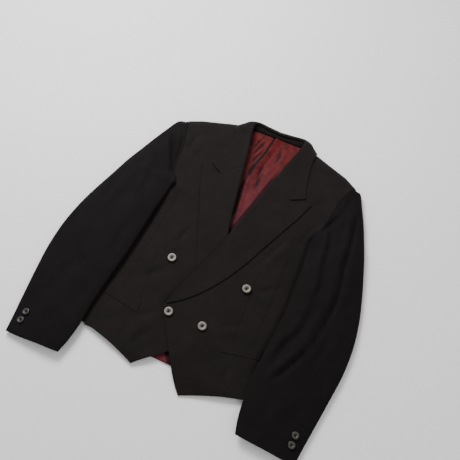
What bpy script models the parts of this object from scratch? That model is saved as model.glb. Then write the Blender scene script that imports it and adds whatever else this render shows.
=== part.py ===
"""White tie tailcoat laid flat on its back, buttoned, with its tails folded under it. Metres, +Z up.

x runs across the coat, + towards the wearer's left. y runs towards the collar and is 0 at the upper
buttons. z is the height over the surface that the coat lies on. Tables give a place as "out", the
distance from the centre line towards a piece's own side, and y. At the end the whole coat is moved so
that the middle of its underside is the origin.
"""

import math
from collections import namedtuple

import bmesh
import bpy
import numpy as np
from mathutils import Matrix, Vector

# Driving sizes
TAIL_WALL = 0.0030
BACK_WALL = 0.0015
LINING_WALL = 0.0010
FRONT_WALL = 0.0020
LAPEL_WALL = 0.0020
COLLAR_WALL = 0.0020
STAND_WALL = 0.0015
SLEEVE_WALL = 0.0015
WELT_WALL = 0.0015
GAP = 0.0003
SEAT = 0.0004

FOLD_Y = -0.200
TAIL_LENGTH = 0.447
VENT_GAP = 0.0012
NECK_Y = 0.3715
ARM_GAP = 0.0007
SIDE_ROLL = 0.055
SHOULDER_ROLL = 0.022
OVERLAP_LIFT = 0.0050
OVERLAP_RAMP = 0.075
OVERLAP_MARGIN = 0.004
POINT_DROP = 0.045
POINT_REST = 0.0025
HEM_BOW = 0.0085
ROLL_BULGE = 0.0022

FRONT_BUTTON_DIAMETER = 0.020
CUFF_BUTTON_DIAMETER = 0.015
BUTTON_THICKNESS_SHARE = 0.19
BUTTON_TURN_STEPS = 16
HOLE_SIDES = 5
HOLE_RADIUS, HOLE_SPACING = 0.10, 0.22
# The turned profile of a button, as shares of its radius and thickness
ButtonRing = namedtuple("ButtonRing", "radius height")
BUTTON_PROFILE = (
    ButtonRing(0.00, 0.62),
    ButtonRing(0.52, 0.66),
    ButtonRing(0.64, 0.98),
    ButtonRing(0.84, 1.00),
    ButtonRing(1.00, 0.62),
    ButtonRing(0.96, 0.25),
    ButtonRing(0.70, 0.00),
    ButtonRing(0.00, 0.00),
)

LEFT, RIGHT = 1, -1
SIDE_NAMES = {LEFT: "left", RIGHT: "right"}

# The armhole, from where the sleeve leaves it up to the shoulder. The first row leads in from the underarm.
ArmholePoint = namedtuple("ArmholePoint", "out y")
ARMHOLE = (
    ArmholePoint(0.2150, 0.1470),
    ArmholePoint(0.1640, 0.1570),
    ArmholePoint(0.1755, 0.1920),
    ArmholePoint(0.1815, 0.2260),
    ArmholePoint(0.1855, 0.2620),
    ArmholePoint(0.1945, 0.2930),
    ArmholePoint(0.2085, 0.3185),
)

# A row for each level of a front, from its point up to the underarm. Inner is the front edge and then
# the line where the lapel rolls over. Outer is the side.
FrontSection = namedtuple("FrontSection", "inner_out inner_y outer_out outer_y")
SIDE_SECTIONS = (
    FrontSection(0.056, -0.240, 0.2500, -0.1920),
    FrontSection(0.024, -0.208, 0.2490, -0.1680),
    FrontSection(-0.004, -0.176, 0.2475, -0.1400),
    FrontSection(-0.030, -0.138, 0.2455, -0.1050),
    FrontSection(-0.054, -0.098, 0.2440, -0.0700),
    FrontSection(-0.0475, -0.056, 0.2430, -0.0330),
    FrontSection(-0.036, -0.018, 0.2440, 0.0030),
    FrontSection(-0.023, 0.020, 0.2455, 0.0380),
    FrontSection(-0.010, 0.060, 0.2485, 0.0730),
    FrontSection(0.001, 0.100, 0.2530, 0.1080),
    FrontSection(0.009, 0.134, 0.2570, 0.1380),
)
# The roll line beside the armhole, a row for each of its points
RollPoint = namedtuple("RollPoint", "out y")
ROLL_LINE = (
    RollPoint(0.0150, 0.160),
    RollPoint(0.0210, 0.188),
    RollPoint(0.0280, 0.222),
    RollPoint(0.0365, 0.258),
    RollPoint(0.0460, 0.300),
    RollPoint(0.0560, 0.340),
    RollPoint(0.0640, 0.374),
)
FRONT_SECTIONS = SIDE_SECTIONS + tuple(
    FrontSection(roll.out, roll.y, arm.out - ARM_GAP, arm.y) for roll, arm in zip(ROLL_LINE, ARMHOLE)
)
# How far each front's point lies from the table's, and how many rows feel it
POINT_SHIFT = {LEFT: (-0.004, -0.011), RIGHT: (0.0045, 0.007)}
POINT_SHIFT_ROWS = 2.5

# Height of the hollow between back and front, by y
Loft = namedtuple("Loft", "y height")
LOFTS = (
    Loft(-0.250, 0.0056),
    Loft(-0.150, 0.0060),
    Loft(-0.050, 0.0074),
    Loft(0.050, 0.0096),
    Loft(0.150, 0.0125),
    Loft(0.250, 0.0145),
    Loft(0.380, 0.0150),
)
# How far a sleeve presses the side below it, and where
PRESS = 0.45
PRESS_FROM_OUT, PRESS_LENGTH = 0.125, 0.050
PRESS_TOP_Y, PRESS_FADE = 0.175, 0.090

# The shoulder line, from the neck to the top of the armhole
ShoulderPoint = namedtuple("ShoulderPoint", "out y")
SHOULDER_LINE = (
    ShoulderPoint(0.0000, 0.3715),
    ShoulderPoint(0.0640, 0.3740),
    ShoulderPoint(0.1010, 0.3630),
    ShoulderPoint(0.1370, 0.3510),
    ShoulderPoint(0.1770, 0.3370),
    ShoulderPoint(0.2085, 0.3185),
    ShoulderPoint(0.2600, 0.2850),
)
# The right shoulder lies a little higher
SHOULDER_RISE = {LEFT: 0.0, RIGHT: 0.0055}

# Half of the back, by y, level with the sides below the arm and beside the armhole above it
BackSection = namedtuple("BackSection", "inner_y outer_out outer_y")
BACK_SECTIONS = (
    BackSection(FOLD_Y, 0.2520, -0.1930),
    BackSection(-0.130, 0.2490, -0.1250),
    BackSection(-0.050, 0.2450, -0.0450),
    BackSection(0.030, 0.2475, 0.0330),
    BackSection(0.090, 0.2540, 0.0930),
    BackSection(0.130, 0.2590, 0.1380),
) + tuple(
    BackSection(inner_y, arm.out - ARM_GAP, arm.y)
    for inner_y, arm in zip((0.160, 0.190, 0.222, 0.255, 0.293, 0.333, NECK_Y), ARMHOLE)
)

# The tails after the fold, by how far along them: they lie under the back and narrow to their hem
TailSection = namedtuple("TailSection", "along outer_out")
TAIL_SECTIONS = (
    TailSection(0.00, 0.186),
    TailSection(0.25, 0.176),
    TailSection(0.50, 0.158),
    TailSection(0.75, 0.140),
    TailSection(1.00, 0.124),
)

# Half the width of the back lining, by y
LiningSection = namedtuple("LiningSection", "y half_width")
LINING_SECTIONS = (
    LiningSection(FOLD_Y, 0.120),
    LiningSection(0.200, 0.110),
    LiningSection(0.345, 0.080),
    LiningSection(NECK_Y, 0.061),
)
# The lining going round the fold at the tails: how far past the fold, and its height
HemTurn = namedtuple("HemTurn", "past height")
HEM_TURNS = (
    HemTurn(0.0026, 0.0012),
    HemTurn(0.0027, 0.0028),
    HemTurn(0.0023, 0.0042),
    HemTurn(0.0012, 0.0050),
)
# The ease pleat down the middle of the lining
PLEAT_TOP_X, PLEAT_LOW_X = -0.008, -0.030
PLEAT_LOW_Y = 0.270
PLEAT_HEIGHT = 0.0032
PLEAT_FADE = 0.060
PLEAT_BACK_WIDTH, PLEAT_FACE_WIDTH = 0.013, 0.0035

# A row for each level of a lapel, from where it starts up to its peak: its outer edge
LapelSection = namedtuple("LapelSection", "outer_out outer_y")
LAPEL_SECTIONS = (
    LapelSection(-0.0500, -0.0960),
    LapelSection(-0.0260, -0.0780),
    LapelSection(0.0040, -0.0470),
    LapelSection(0.0360, -0.0010),
    LapelSection(0.0600, 0.0480),
    LapelSection(0.0820, 0.1020),
    LapelSection(0.1030, 0.1520),
    LapelSection(0.1215, 0.1960),
    LapelSection(0.1340, 0.2340),
)
LAPEL_ROLL_ROWS = (4.15, 14.06)
LAPEL_CLEAR = 0.0002
LAPEL_SPREAD = {LEFT: 0.0, RIGHT: -0.010}
NOTCH_OUT, NOTCH_Y = 0.0850, 0.2241
NOTCH_ROWS_SHARE = 0.30

# A row for each station of the collar, from the gorge seam round to the middle of the back of the neck.
# Nose is the fold at the top of the stand; mid, low and edge run down the fall. The first four lie on the
# front, whatever their heights.
CollarStation = namedtuple(
    "CollarStation",
    "nose_out nose_y nose_z mid_out mid_y mid_z low_out low_y low_z edge_out edge_y edge_z",
)
COLLAR_STATIONS = (
    CollarStation(0.0375, 0.2625, 0.025, 0.0612, 0.2444, 0.025, 0.085, 0.2262, 0.025, 0.118, 0.243, 0.025),
    CollarStation(0.0445, 0.292, 0.025, 0.065, 0.28, 0.025, 0.087, 0.268, 0.025, 0.111, 0.264, 0.025),
    CollarStation(0.052, 0.322, 0.025, 0.068, 0.314, 0.025, 0.085, 0.305, 0.025, 0.103, 0.296, 0.025),
    CollarStation(0.059, 0.347, 0.025, 0.072, 0.341, 0.025, 0.085, 0.335, 0.024, 0.098, 0.327, 0.024),
    CollarStation(0.063, 0.364, 0.0245, 0.0755, 0.36, 0.0243, 0.087, 0.356, 0.0236, 0.0975, 0.349, 0.0233),
    CollarStation(0.0645, 0.3755, 0.0225, 0.076, 0.3765, 0.0205, 0.086, 0.3725, 0.0155, 0.095, 0.3685, 0.01),
    CollarStation(0.0615, 0.3835, 0.0195, 0.0725, 0.3865, 0.013, 0.078, 0.383, 0.005, 0.08, 0.376, 0.0026),
    CollarStation(0.049, 0.387, 0.0165, 0.055, 0.393, 0.0095, 0.0565, 0.389, 0.003, 0.0575, 0.362, 0.0022),
    CollarStation(0.026, 0.3845, 0.0145, 0.028, 0.391, 0.0085, 0.0285, 0.3865, 0.0027, 0.029, 0.357, 0.0022),
    CollarStation(0, 0.3825, 0.014, 0, 0.389, 0.008, 0, 0.385, 0.0026, 0, 0.355, 0.0022),
)
COLLAR_UNDER_OUT = 0.097
COLLAR_UNDER_RAMP = 0.040
COLLAR_UNDER_RISE = 0.0028
CURL_STEPS = 2
CURL_OUT = 0.0008
CURL_DROP = 0.0016

# The stand of the collar: its foot at the neck seam, its top just inside the fold
STAND_HALF = 0.0580
STAND_FOOT_Y, STAND_FOOT_Z = 0.3730, 0.0062
STAND_TOP_BELOW, STAND_TOP_INSIDE = 0.0022, 0.0016

# A row for each section of a sleeve, from the armhole to the cuff: its two edges and its thickness
SleeveSection = namedtuple("SleeveSection", "inner_out inner_y outer_out outer_y thick")
SLEEVE_SECTIONS = {
    RIGHT: (
        SleeveSection(0.1645, 0.1570, 0.2090, 0.3185, 0.0200),
        SleeveSection(0.1650, 0.1450, 0.2285, 0.3120, 0.0215),
        SleeveSection(0.1655, 0.1290, 0.2450, 0.2820, 0.0235),
        SleeveSection(0.1675, 0.0990, 0.2625, 0.2390, 0.0240),
        SleeveSection(0.1695, 0.0660, 0.2800, 0.1910, 0.0235),
        SleeveSection(0.1715, 0.0300, 0.2970, 0.1400, 0.0225),
        SleeveSection(0.1735, -0.0080, 0.3145, 0.0880, 0.0215),
        SleeveSection(0.1765, -0.0480, 0.3285, 0.0360, 0.0205),
        SleeveSection(0.1810, -0.0880, 0.3375, -0.0220, 0.0200),
        SleeveSection(0.1850, -0.1300, 0.3390, -0.0830, 0.0190),
        SleeveSection(0.1870, -0.1720, 0.3340, -0.1430, 0.0180),
        SleeveSection(0.1880, -0.2120, 0.3280, -0.1990, 0.0170),
        SleeveSection(0.1920, -0.2460, 0.3230, -0.2420, 0.0160),
        SleeveSection(0.1985, -0.2745, 0.3195, -0.2785, 0.0150),
    ),
    LEFT: (
        SleeveSection(0.1645, 0.1570, 0.2090, 0.3185, 0.0200),
        SleeveSection(0.1665, 0.1460, 0.2230, 0.3090, 0.0215),
        SleeveSection(0.1690, 0.1300, 0.2350, 0.2820, 0.0235),
        SleeveSection(0.1715, 0.1000, 0.2545, 0.2390, 0.0240),
        SleeveSection(0.1740, 0.0670, 0.2725, 0.1910, 0.0235),
        SleeveSection(0.1765, 0.0310, 0.2900, 0.1400, 0.0225),
        SleeveSection(0.1780, -0.0070, 0.3060, 0.0880, 0.0215),
        SleeveSection(0.1765, -0.0470, 0.3190, 0.0360, 0.0205),
        SleeveSection(0.1730, -0.0870, 0.3275, -0.0220, 0.0200),
        SleeveSection(0.1700, -0.1290, 0.3280, -0.0830, 0.0190),
        SleeveSection(0.1700, -0.1710, 0.3215, -0.1430, 0.0180),
        SleeveSection(0.1715, -0.2110, 0.3145, -0.1990, 0.0170),
        SleeveSection(0.1760, -0.2450, 0.3090, -0.2420, 0.0160),
        SleeveSection(0.1830, -0.2735, 0.3050, -0.2785, 0.0150),
    ),
}
ARMHOLE_ROWS = 1.8
INNER_THICK_SHARE = 0.78
SLEEVE_FLAT = 0.0080
SLEEVE_SEAT = 0.0009
SLEEVE_REST_OUT, SLEEVE_REST_RAMP = 0.058, 0.075
ARM_REST_TOP_Y, ARM_REST_RAMP = 0.218, 0.058
SLEEVE_TOP_OUT, SLEEVE_TOP_RAMP = 0.066, 0.130
ARM_TOP_Y, ARM_TOP_RAMP = 0.205, 0.150
SLEEVE_ROUND = 0.80
# Seams of the sleeve, as angles round its section: 0 is the outer edge, 90 the top, 180 the inner edge
HIND_SEAM, FORE_SEAM = math.radians(-22), math.radians(208)
SEAM_ANGLE = math.radians(3.0)
SEAM_CLOSENESS = 0.6

# Soft troughs on a top sleeve: three places along each, in out and y, its depth and its half width
Trough = namedtuple("Trough", "side out_a y_a out_b y_b out_c y_c depth width")
TROUGHS = (
    Trough(LEFT, 0.246, 0.232, 0.262, 0.080, 0.258, -0.040, 0.0048, 0.0120),
    Trough(LEFT, 0.256, -0.030, 0.242, -0.085, 0.212, -0.150, 0.0042, 0.0120),
    Trough(LEFT, 0.192, 0.205, 0.211, 0.150, 0.217, 0.085, 0.0040, 0.0100),
    Trough(LEFT, 0.202, -0.035, 0.198, -0.090, 0.180, -0.155, 0.0036, 0.0110),
    Trough(RIGHT, 0.190, 0.240, 0.205, 0.180, 0.206, 0.100, 0.0040, 0.0110),
    Trough(RIGHT, 0.222, 0.190, 0.248, 0.090, 0.262, -0.010, 0.0024, 0.0150),
    Trough(RIGHT, 0.290, -0.030, 0.270, -0.080, 0.235, -0.120, 0.0026, 0.0120),
)
TROUGH_STEPS = 12

# Pocket welts: the upper edge from its inner to its outer end
WELT_INNER = {RIGHT: (0.0975, -0.1130), LEFT: (0.0925, -0.1170)}
WELT_OUTER = {RIGHT: (0.1800, -0.1000), LEFT: (0.1680, -0.1000)}
WELT_HEIGHT = 0.0240

# Buttons on the fronts, and near the hind seam of each cuff
UPPER_BUTTON = (0.0855, 0.0)
LOWER_BUTTON = (0.0375, -0.1100)
CUFF_BUTTONS = {
    RIGHT: ((0.3000, -0.2290), (0.3005, -0.2480)),
    LEFT: ((0.2860, -0.2290), (0.2865, -0.2480)),
}
CUFF_BUTTON_SEAT = 0.0007

Panel = namedtuple("Panel", "mesh wall offset")
Cloth = namedtuple("Cloth", "name colour roughness")
BLACK_WOOL = Cloth("black wool", (0.0150, 0.0138, 0.0130), 0.85)
RED_LINING = Cloth("red satin lining", (0.156, 0.026, 0.028), 0.45)
BUTTON_HORN = Cloth("grey brown horn", (0.230, 0.190, 0.170), 0.40)


def smooth(share):
    """0 below 0, 1 above 1, and a soft step between."""
    share = min(max(share, 0.0), 1.0)
    return share * share * (3.0 - 2.0 * share)


def rolled(depth, roll):
    """Height share of a rounded edge, depth in from it."""
    share = min(max(depth / roll, 0.0), 1.0)
    return math.sqrt(1.0 - (1.0 - share) ** 2)


def mix(first, second, share):
    return first + (second - first) * share


def through(rows, place):
    """The values at a place on the smooth curve through the rows, whose places are 0, 1, 2 and so on."""
    last = len(rows) - 1
    index = min(max(int(math.floor(place)), 0), last - 1)
    t = min(max(place - index, 0.0), 1.0)
    table = np.array(rows, dtype=float)
    p1, p2 = table[index], table[index + 1]
    p0 = table[index - 1] if index > 0 else 2.0 * p1 - p2
    p3 = table[index + 2] if index + 2 <= last else 2.0 * p2 - p1
    bend = 2 * p0 - 5 * p1 + 4 * p2 - p3
    twist = 3 * p1 - p0 - 3 * p2 + p3
    return 0.5 * (2 * p1 + (p2 - p0) * t + bend * t**2 + twist * t**3)


def by_column(rows, key, value, at):
    """The value column at a place in the key column, with straight runs between the rows."""
    return float(np.interp(at, [getattr(row, key) for row in rows], [getattr(row, value) for row in rows]))


def loft(y):
    return by_column(LOFTS, "y", "height", y)


def pressed(out, y):
    """Share of the hollow's height that is left where a sleeve lies on the side."""
    below_arm = smooth((PRESS_TOP_Y - y) / PRESS_FADE)
    return 1.0 - PRESS * smooth((out - PRESS_FROM_OUT) / PRESS_LENGTH) * below_arm


def shoulder_y(out, side):
    rise = SHOULDER_RISE[side] * smooth((out - 0.070) / 0.040) * smooth((0.205 - out) / 0.030)
    return by_column(SHOULDER_LINE, "out", "y", out) + rise


def side_out(y):
    """Distance of the side from the centre line. It runs on past the armhole."""
    sides = [row for row in FRONT_SECTIONS if row.outer_y <= 0.14]
    return by_column(sides, "outer_y", "outer_out", y)


def back_under(out, y):
    """Height of the back's underside, over the folded tails and the fall of the collar."""
    inside = COLLAR_UNDER_OUT + COLLAR_UNDER_RAMP - out
    over_collar = COLLAR_UNDER_RISE * smooth(inside / COLLAR_UNDER_RAMP)
    past_tails = smooth((y - (FOLD_Y + TAIL_LENGTH + 0.004)) / 0.055)
    return mix(TAIL_WALL + GAP, over_collar, past_tails)


def front_under(x, y, side):
    """Height of a front's underside. The left front rides over the right one and its lapel."""
    out = abs(x)
    full = rolled(side_out(y) - out, SIDE_ROLL) * rolled(shoulder_y(out, side) - y, SHOULDER_ROLL)
    seam = back_under(out, y)
    height = BACK_WALL + SEAT + mix(seam, TAIL_WALL + GAP + loft(y) * pressed(out, y), full)
    drop = smooth((FOLD_Y - 0.006 - y) / POINT_DROP)
    height = mix(height, POINT_REST, drop)
    if side == LEFT:
        under_edge = -by_column(FRONT_SECTIONS, "inner_y", "inner_out", y)
        height += OVERLAP_LIFT * smooth((under_edge + OVERLAP_MARGIN + OVERLAP_RAMP - x) / OVERLAP_RAMP)
    return height


def on_front(x, y, side):
    """Height of what lies on a front."""
    return front_under(x, y, side) + FRONT_WALL + SEAT


def front_place(side, u, row):
    """Plan place on a front: u from the inner to the outer edge, row along the table."""
    section = through(FRONT_SECTIONS, row)
    reach = smooth(1.0 - row / POINT_SHIFT_ROWS) * (1.0 - u)
    out = mix(section[0], section[2], u) + POINT_SHIFT[side][0] * reach
    y = mix(section[1], section[3], u) + POINT_SHIFT[side][1] * reach
    y += HEM_BOW * math.sin(math.pi * u) ** 0.8 * smooth(1.0 - row / POINT_SHIFT_ROWS)
    top = FRONT_SECTIONS[-1]
    to_shoulder = shoulder_y(out, side) - mix(top.inner_y, top.outer_y, u)
    y += to_shoulder * smooth(row - len(FRONT_SECTIONS) + 2)
    return side * out, y


def make_material(name, cloth):
    material = bpy.data.materials.new(f"{cloth.name} of {name}")
    material.use_nodes = True
    shader = material.node_tree.nodes["Principled BSDF"]
    shader.inputs["Base Color"].default_value = (*cloth.colour, 1.0)
    shader.inputs["Roughness"].default_value = cloth.roughness
    shader.inputs["Metallic"].default_value = 0.0
    return material


def make_object(name, mesh, cloth, collection):
    obj = bpy.data.objects.new(name, mesh)
    mesh.materials.clear()
    mesh.materials.append(make_material(name, cloth))
    collection.objects.link(obj)
    return obj


def cloth_panel(place, columns, rows, wall, inside_out=False, wall_inside=False):
    """A piece of cloth on the surface place(u, v), both from 0 to 1, its wall on the side that it faces."""
    shape = bmesh.new()
    bmesh.ops.create_grid(shape, x_segments=columns, y_segments=rows, size=0.5)
    for vertex in shape.verts:
        vertex.co = place(vertex.co.x + 0.5, vertex.co.y + 0.5)
    if inside_out:
        bmesh.ops.reverse_faces(shape, faces=shape.faces)
    mesh = bpy.data.meshes.new("cloth")
    shape.to_mesh(mesh)
    shape.free()
    mesh.shade_smooth()
    return Panel(mesh, wall, -1.0 if wall_inside else 1.0)


def add_cloth(name, panel, cloth, collection):
    panel.mesh.name = name
    obj = make_object(name, panel.mesh, cloth, collection)
    solidify = obj.modifiers.new("Wall", "SOLIDIFY")
    solidify.thickness = panel.wall
    solidify.offset = panel.offset


def tail(side):
    """Half of the folded skirts: cloth and lining as one flat wall."""

    def place(u, v):
        outer = by_column(TAIL_SECTIONS, "along", "outer_out", v)
        return side * mix(VENT_GAP / 2, outer, u), FOLD_Y + TAIL_LENGTH * v, 0.0

    return cloth_panel(place, 4, 6, TAIL_WALL, inside_out=side == RIGHT)


def back(side):
    def place(u, v):
        row = v * (len(BACK_SECTIONS) - 1)
        section = through(BACK_SECTIONS, row)
        out = mix(GAP / 2, section[1], u)
        y = mix(section[0], section[2], u)
        top = mix(BACK_SECTIONS[-1].inner_y, BACK_SECTIONS[-1].outer_y, u)
        y += (shoulder_y(out, side) - top) * smooth(row - len(BACK_SECTIONS) + 2)
        return side * out, y, back_under(out, y)

    return cloth_panel(place, 7, 22, BACK_WALL, inside_out=side == RIGHT)


def pleat_x(y):
    return mix(PLEAT_LOW_X, PLEAT_TOP_X, smooth((y - PLEAT_LOW_Y) / (NECK_Y - PLEAT_LOW_Y)))


def back_lining():
    """The lining of the back, turned round the fold of the tails, with its ease pleat."""
    across = (-1.0, -0.7, -0.4, -0.15, -PLEAT_FACE_WIDTH, 0.0, PLEAT_BACK_WIDTH, 0.25, 0.5, 0.75, 1.0)
    turns = len(HEM_TURNS)
    levels = 20

    def place(u, v):
        column = int(round(u * (len(across) - 1)))
        row = int(round(v * (turns + levels - 1)))
        share = across[column]
        y = FOLD_Y if row < turns else mix(FOLD_Y, NECK_Y, (row - turns) / (levels - 1))
        crest = pleat_x(y)
        half = by_column(LINING_SECTIONS, "y", "half_width", y)
        if share in (0.0, -PLEAT_FACE_WIDTH, PLEAT_BACK_WIDTH):
            x = crest + share
        else:
            x = mix(crest, math.copysign(half, share), abs(share))
        if row < turns:
            return x, FOLD_Y - HEM_TURNS[row].past, HEM_TURNS[row].height
        height = 0.0
        if share == 0.0:
            height = PLEAT_HEIGHT * smooth((y - PLEAT_LOW_Y) / PLEAT_FADE + 1.0)
        return x, y, back_under(abs(x), y) + BACK_WALL + SEAT + height

    return cloth_panel(place, len(across) - 1, turns + levels - 1, LINING_WALL)


def front(side):
    def place(u, v):
        x, y = front_place(side, u, v * (len(FRONT_SECTIONS) - 1))
        return x, y, front_under(x, y, side)

    return cloth_panel(place, 12, 30, FRONT_WALL, inside_out=side == RIGHT)


def lapel(side):
    """The turned part of a front: it lies on the front and curls round its edge at the roll line."""
    columns, rows = 8, 18

    def place(u, v):
        column = int(round(u * (columns + CURL_STEPS)))
        share = max(column - CURL_STEPS, 0) / columns
        curl = (CURL_STEPS - min(column, CURL_STEPS)) / CURL_STEPS * math.pi / 2
        roll = through(FRONT_SECTIONS, mix(*LAPEL_ROLL_ROWS, v))[:2]
        edge = through(LAPEL_SECTIONS, v * (len(LAPEL_SECTIONS) - 1))
        edge[0] += LAPEL_SPREAD[side] * smooth(v * 4)
        out, y = mix(roll, edge, share)
        notch_out = NOTCH_OUT + LAPEL_SPREAD[side] * 2 / 3
        notch = (notch_out - roll[0]) / (edge[0] - roll[0]) if v > 0.5 else 0.5
        hat = 1.0 - abs(share - notch) / (notch if share < notch else 1.0 - notch)
        dip = mix(roll[1], edge[1], notch) - NOTCH_Y
        y -= max(hat, 0.0) * dip * smooth((v - 1.0) / NOTCH_ROWS_SHARE + 1.0)
        x = side * out
        bulge = ROLL_BULGE * (1.0 - share) ** 2 * smooth((roll[1] - 0.11) / 0.09)
        z = on_front(x, y, side) + LAPEL_CLEAR + bulge * (share > 0 or curl == 0)
        if curl:
            x -= side * CURL_OUT * math.sin(curl)
            z += bulge * math.cos(curl) - CURL_DROP * (1.0 - math.cos(curl))
        return x, y, z

    return cloth_panel(place, columns + CURL_STEPS, rows, LAPEL_WALL, inside_out=side == RIGHT)


def collar_point(side, station, part):
    """Place on the fall: station from the gorge to the back of the neck, part from nose to edge."""
    row = through(COLLAR_STATIONS, station)
    points = row.reshape(4, 3)
    along = min(int(part), 2)
    straight = mix(points[along], points[along + 1], part - along)
    out, y, z = mix(straight, through(points, part), smooth(station))
    on_chest = smooth(4.0 - station)
    out += LAPEL_SPREAD[side] * on_chest * part / 3.0
    x = side * out
    lying = on_front(x, y, side) + LAPEL_CLEAR + ROLL_BULGE * max(1.0 - part / 3.0, 0.0) ** 2
    return Vector((x, y, mix(z, lying, on_chest)))


def collar():
    """The fall of the collar, all round the neck from gorge to gorge."""
    columns, rows = 9, 32
    stations = len(COLLAR_STATIONS) - 1

    def place(u, v):
        column = int(round(u * (columns + CURL_STEPS)))
        part = max(column - CURL_STEPS, 0) / columns * 3.0
        curl = (CURL_STEPS - min(column, CURL_STEPS)) / CURL_STEPS * math.pi / 2
        side = LEFT if v <= 0.5 else RIGHT
        station = stations * (1.0 - abs(2.0 * v - 1.0))
        point = collar_point(side, station, part)
        if curl:
            ahead = collar_point(side, min(station + 0.1, stations), 0.0)
            ahead -= collar_point(side, max(station - 0.1, 0.0), 0.0)
            inward = Vector((-side * abs(ahead.y), -abs(ahead.x), 0.0)).normalized()
            point += inward * CURL_OUT * math.sin(curl)
            point.z -= CURL_DROP * (1.0 - math.cos(curl))
        return point

    return cloth_panel(place, columns + CURL_STEPS, rows, COLLAR_WALL)


def nose_at(x):
    """Place of the collar's fold at the back of the neck, by x."""
    rows = [row for row in reversed(COLLAR_STATIONS) if row.nose_y > 0.38]
    out = abs(x)
    return by_column(rows, "nose_out", "nose_y", out), by_column(rows, "nose_out", "nose_z", out)


def collar_stand():
    """The band inside the back of the neck, from the neck seam up to the fold."""

    def place(u, v):
        x = mix(-STAND_HALF, STAND_HALF, u)
        top_y, top_z = nose_at(x)
        y = mix(STAND_FOOT_Y, top_y - STAND_TOP_INSIDE, v)
        z = mix(STAND_FOOT_Z, top_z - STAND_TOP_BELOW, v)
        return x, y, z

    return cloth_panel(place, 12, 3, STAND_WALL, wall_inside=True)


def sleeve_rest(out, y, side_reach, side_ramp, arm_top, arm_ramp):
    """Height of the body's side, sloping down to the floor beyond it and beside the armhole."""
    body = BACK_WALL + SEAT + TAIL_WALL + GAP + loft(y) * pressed(out, y) + FRONT_WALL + SLEEVE_SEAT
    past_side = smooth((side_out(y) + side_reach - out) / side_ramp)
    past_arm = smooth((arm_top - y) / arm_ramp)
    return GAP + body * past_side * past_arm


def trough_depth(side, x, y):
    """How far the soft troughs of a top sleeve lower it."""
    depth = 0.0
    for trough in TROUGHS:
        if trough.side != side:
            continue
        a = np.array((trough.out_a, trough.y_a))
        b = np.array((trough.out_b, trough.y_b))
        c = np.array((trough.out_c, trough.y_c))
        turn = 2.0 * b - 0.5 * (a + c)
        steps = np.linspace(0.0, 1.0, TROUGH_STEPS)[:, None]
        line = (1 - steps) ** 2 * a + 2 * steps * (1 - steps) * turn + steps**2 * c
        away = np.hypot(*(line - (side * x, y)).T)
        near = int(np.argmin(away))
        fade = math.sin(math.pi * (near + 0.5) / TROUGH_STEPS) ** 0.5
        depth += trough.depth * fade * math.exp(-((away[near] / trough.width) ** 2))
    return depth


def sleeve_point(side, row, angle):
    """Place on the outside of a sleeve: row along the table, angle round the section."""
    sections = SLEEVE_SECTIONS[side]
    inner_out, inner_y, outer_out, outer_y, thick = through(sections, row)
    flat = math.copysign(abs(math.cos(angle)) ** SLEEVE_ROUND, math.cos(angle))
    rise = math.copysign(abs(math.sin(angle)) ** SLEEVE_ROUND, math.sin(angle))
    share = 0.5 + 0.5 * flat
    out, y = mix(inner_out, outer_out, share), mix(inner_y, outer_y, share)
    at_arm = smooth(1.0 - row / ARMHOLE_ROWS)
    arm_out, arm_y = through(ARMHOLE, 1.0 + share * (len(ARMHOLE) - 2))
    first = sections[0]
    out += (arm_out + ARM_GAP - mix(first.inner_out, first.outer_out, share)) * at_arm
    y += (arm_y - mix(first.inner_y, first.outer_y, share)) * at_arm
    thick *= mix(INNER_THICK_SHARE, 1.0, smooth(share * 1.6))
    rest = sleeve_rest(out, y, SLEEVE_REST_OUT, SLEEVE_REST_RAMP, ARM_REST_TOP_Y, ARM_REST_RAMP)
    soft = sleeve_rest(out, y, SLEEVE_TOP_OUT, SLEEVE_TOP_RAMP, ARM_TOP_Y, ARM_TOP_RAMP)
    thick -= min(max(rest - soft, 0.0), thick - SLEEVE_FLAT)
    sewn = max(front_under(side * (out - 2 * ARM_GAP), y, side) + FRONT_WALL - rest, SLEEVE_FLAT)
    thick = mix(thick, sewn, smooth(1.0 - row))
    z = rest + thick / 2 * (1.0 + rise)
    if rise > 0:
        z -= trough_depth(side, side * out, y) * rise * smooth(row)
        z = mix(z, rest + thick, smooth(1.0 - row) * smooth(rise * 1.6))
    return Vector((side * out, y, z))


def sleeve_half(side, first, last, columns):
    def place(u, v):
        row = (1.0 - v) * (len(SLEEVE_SECTIONS[side]) - 1)
        close = u - SEAM_CLOSENESS * math.sin(2 * math.pi * u) / (2 * math.pi)
        return sleeve_point(side, row, mix(last, first, close))

    return cloth_panel(place, columns, 26, SLEEVE_WALL, inside_out=side == RIGHT, wall_inside=True)


def top_sleeve(side):
    return sleeve_half(side, HIND_SEAM + SEAM_ANGLE, FORE_SEAM - SEAM_ANGLE, 14)


def under_sleeve(side):
    return sleeve_half(side, FORE_SEAM - 2 * math.pi + SEAM_ANGLE, HIND_SEAM - SEAM_ANGLE, 8)


def pocket_welt(side):
    def place(u, v):
        out, y = (mix(a, b, u) for a, b in zip(WELT_INNER[side], WELT_OUTER[side]))
        y -= WELT_HEIGHT * (1.0 - v)
        return side * out, y, on_front(side * out, y, side)

    return cloth_panel(place, 7, 2, WELT_WALL, inside_out=side == RIGHT)


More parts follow.
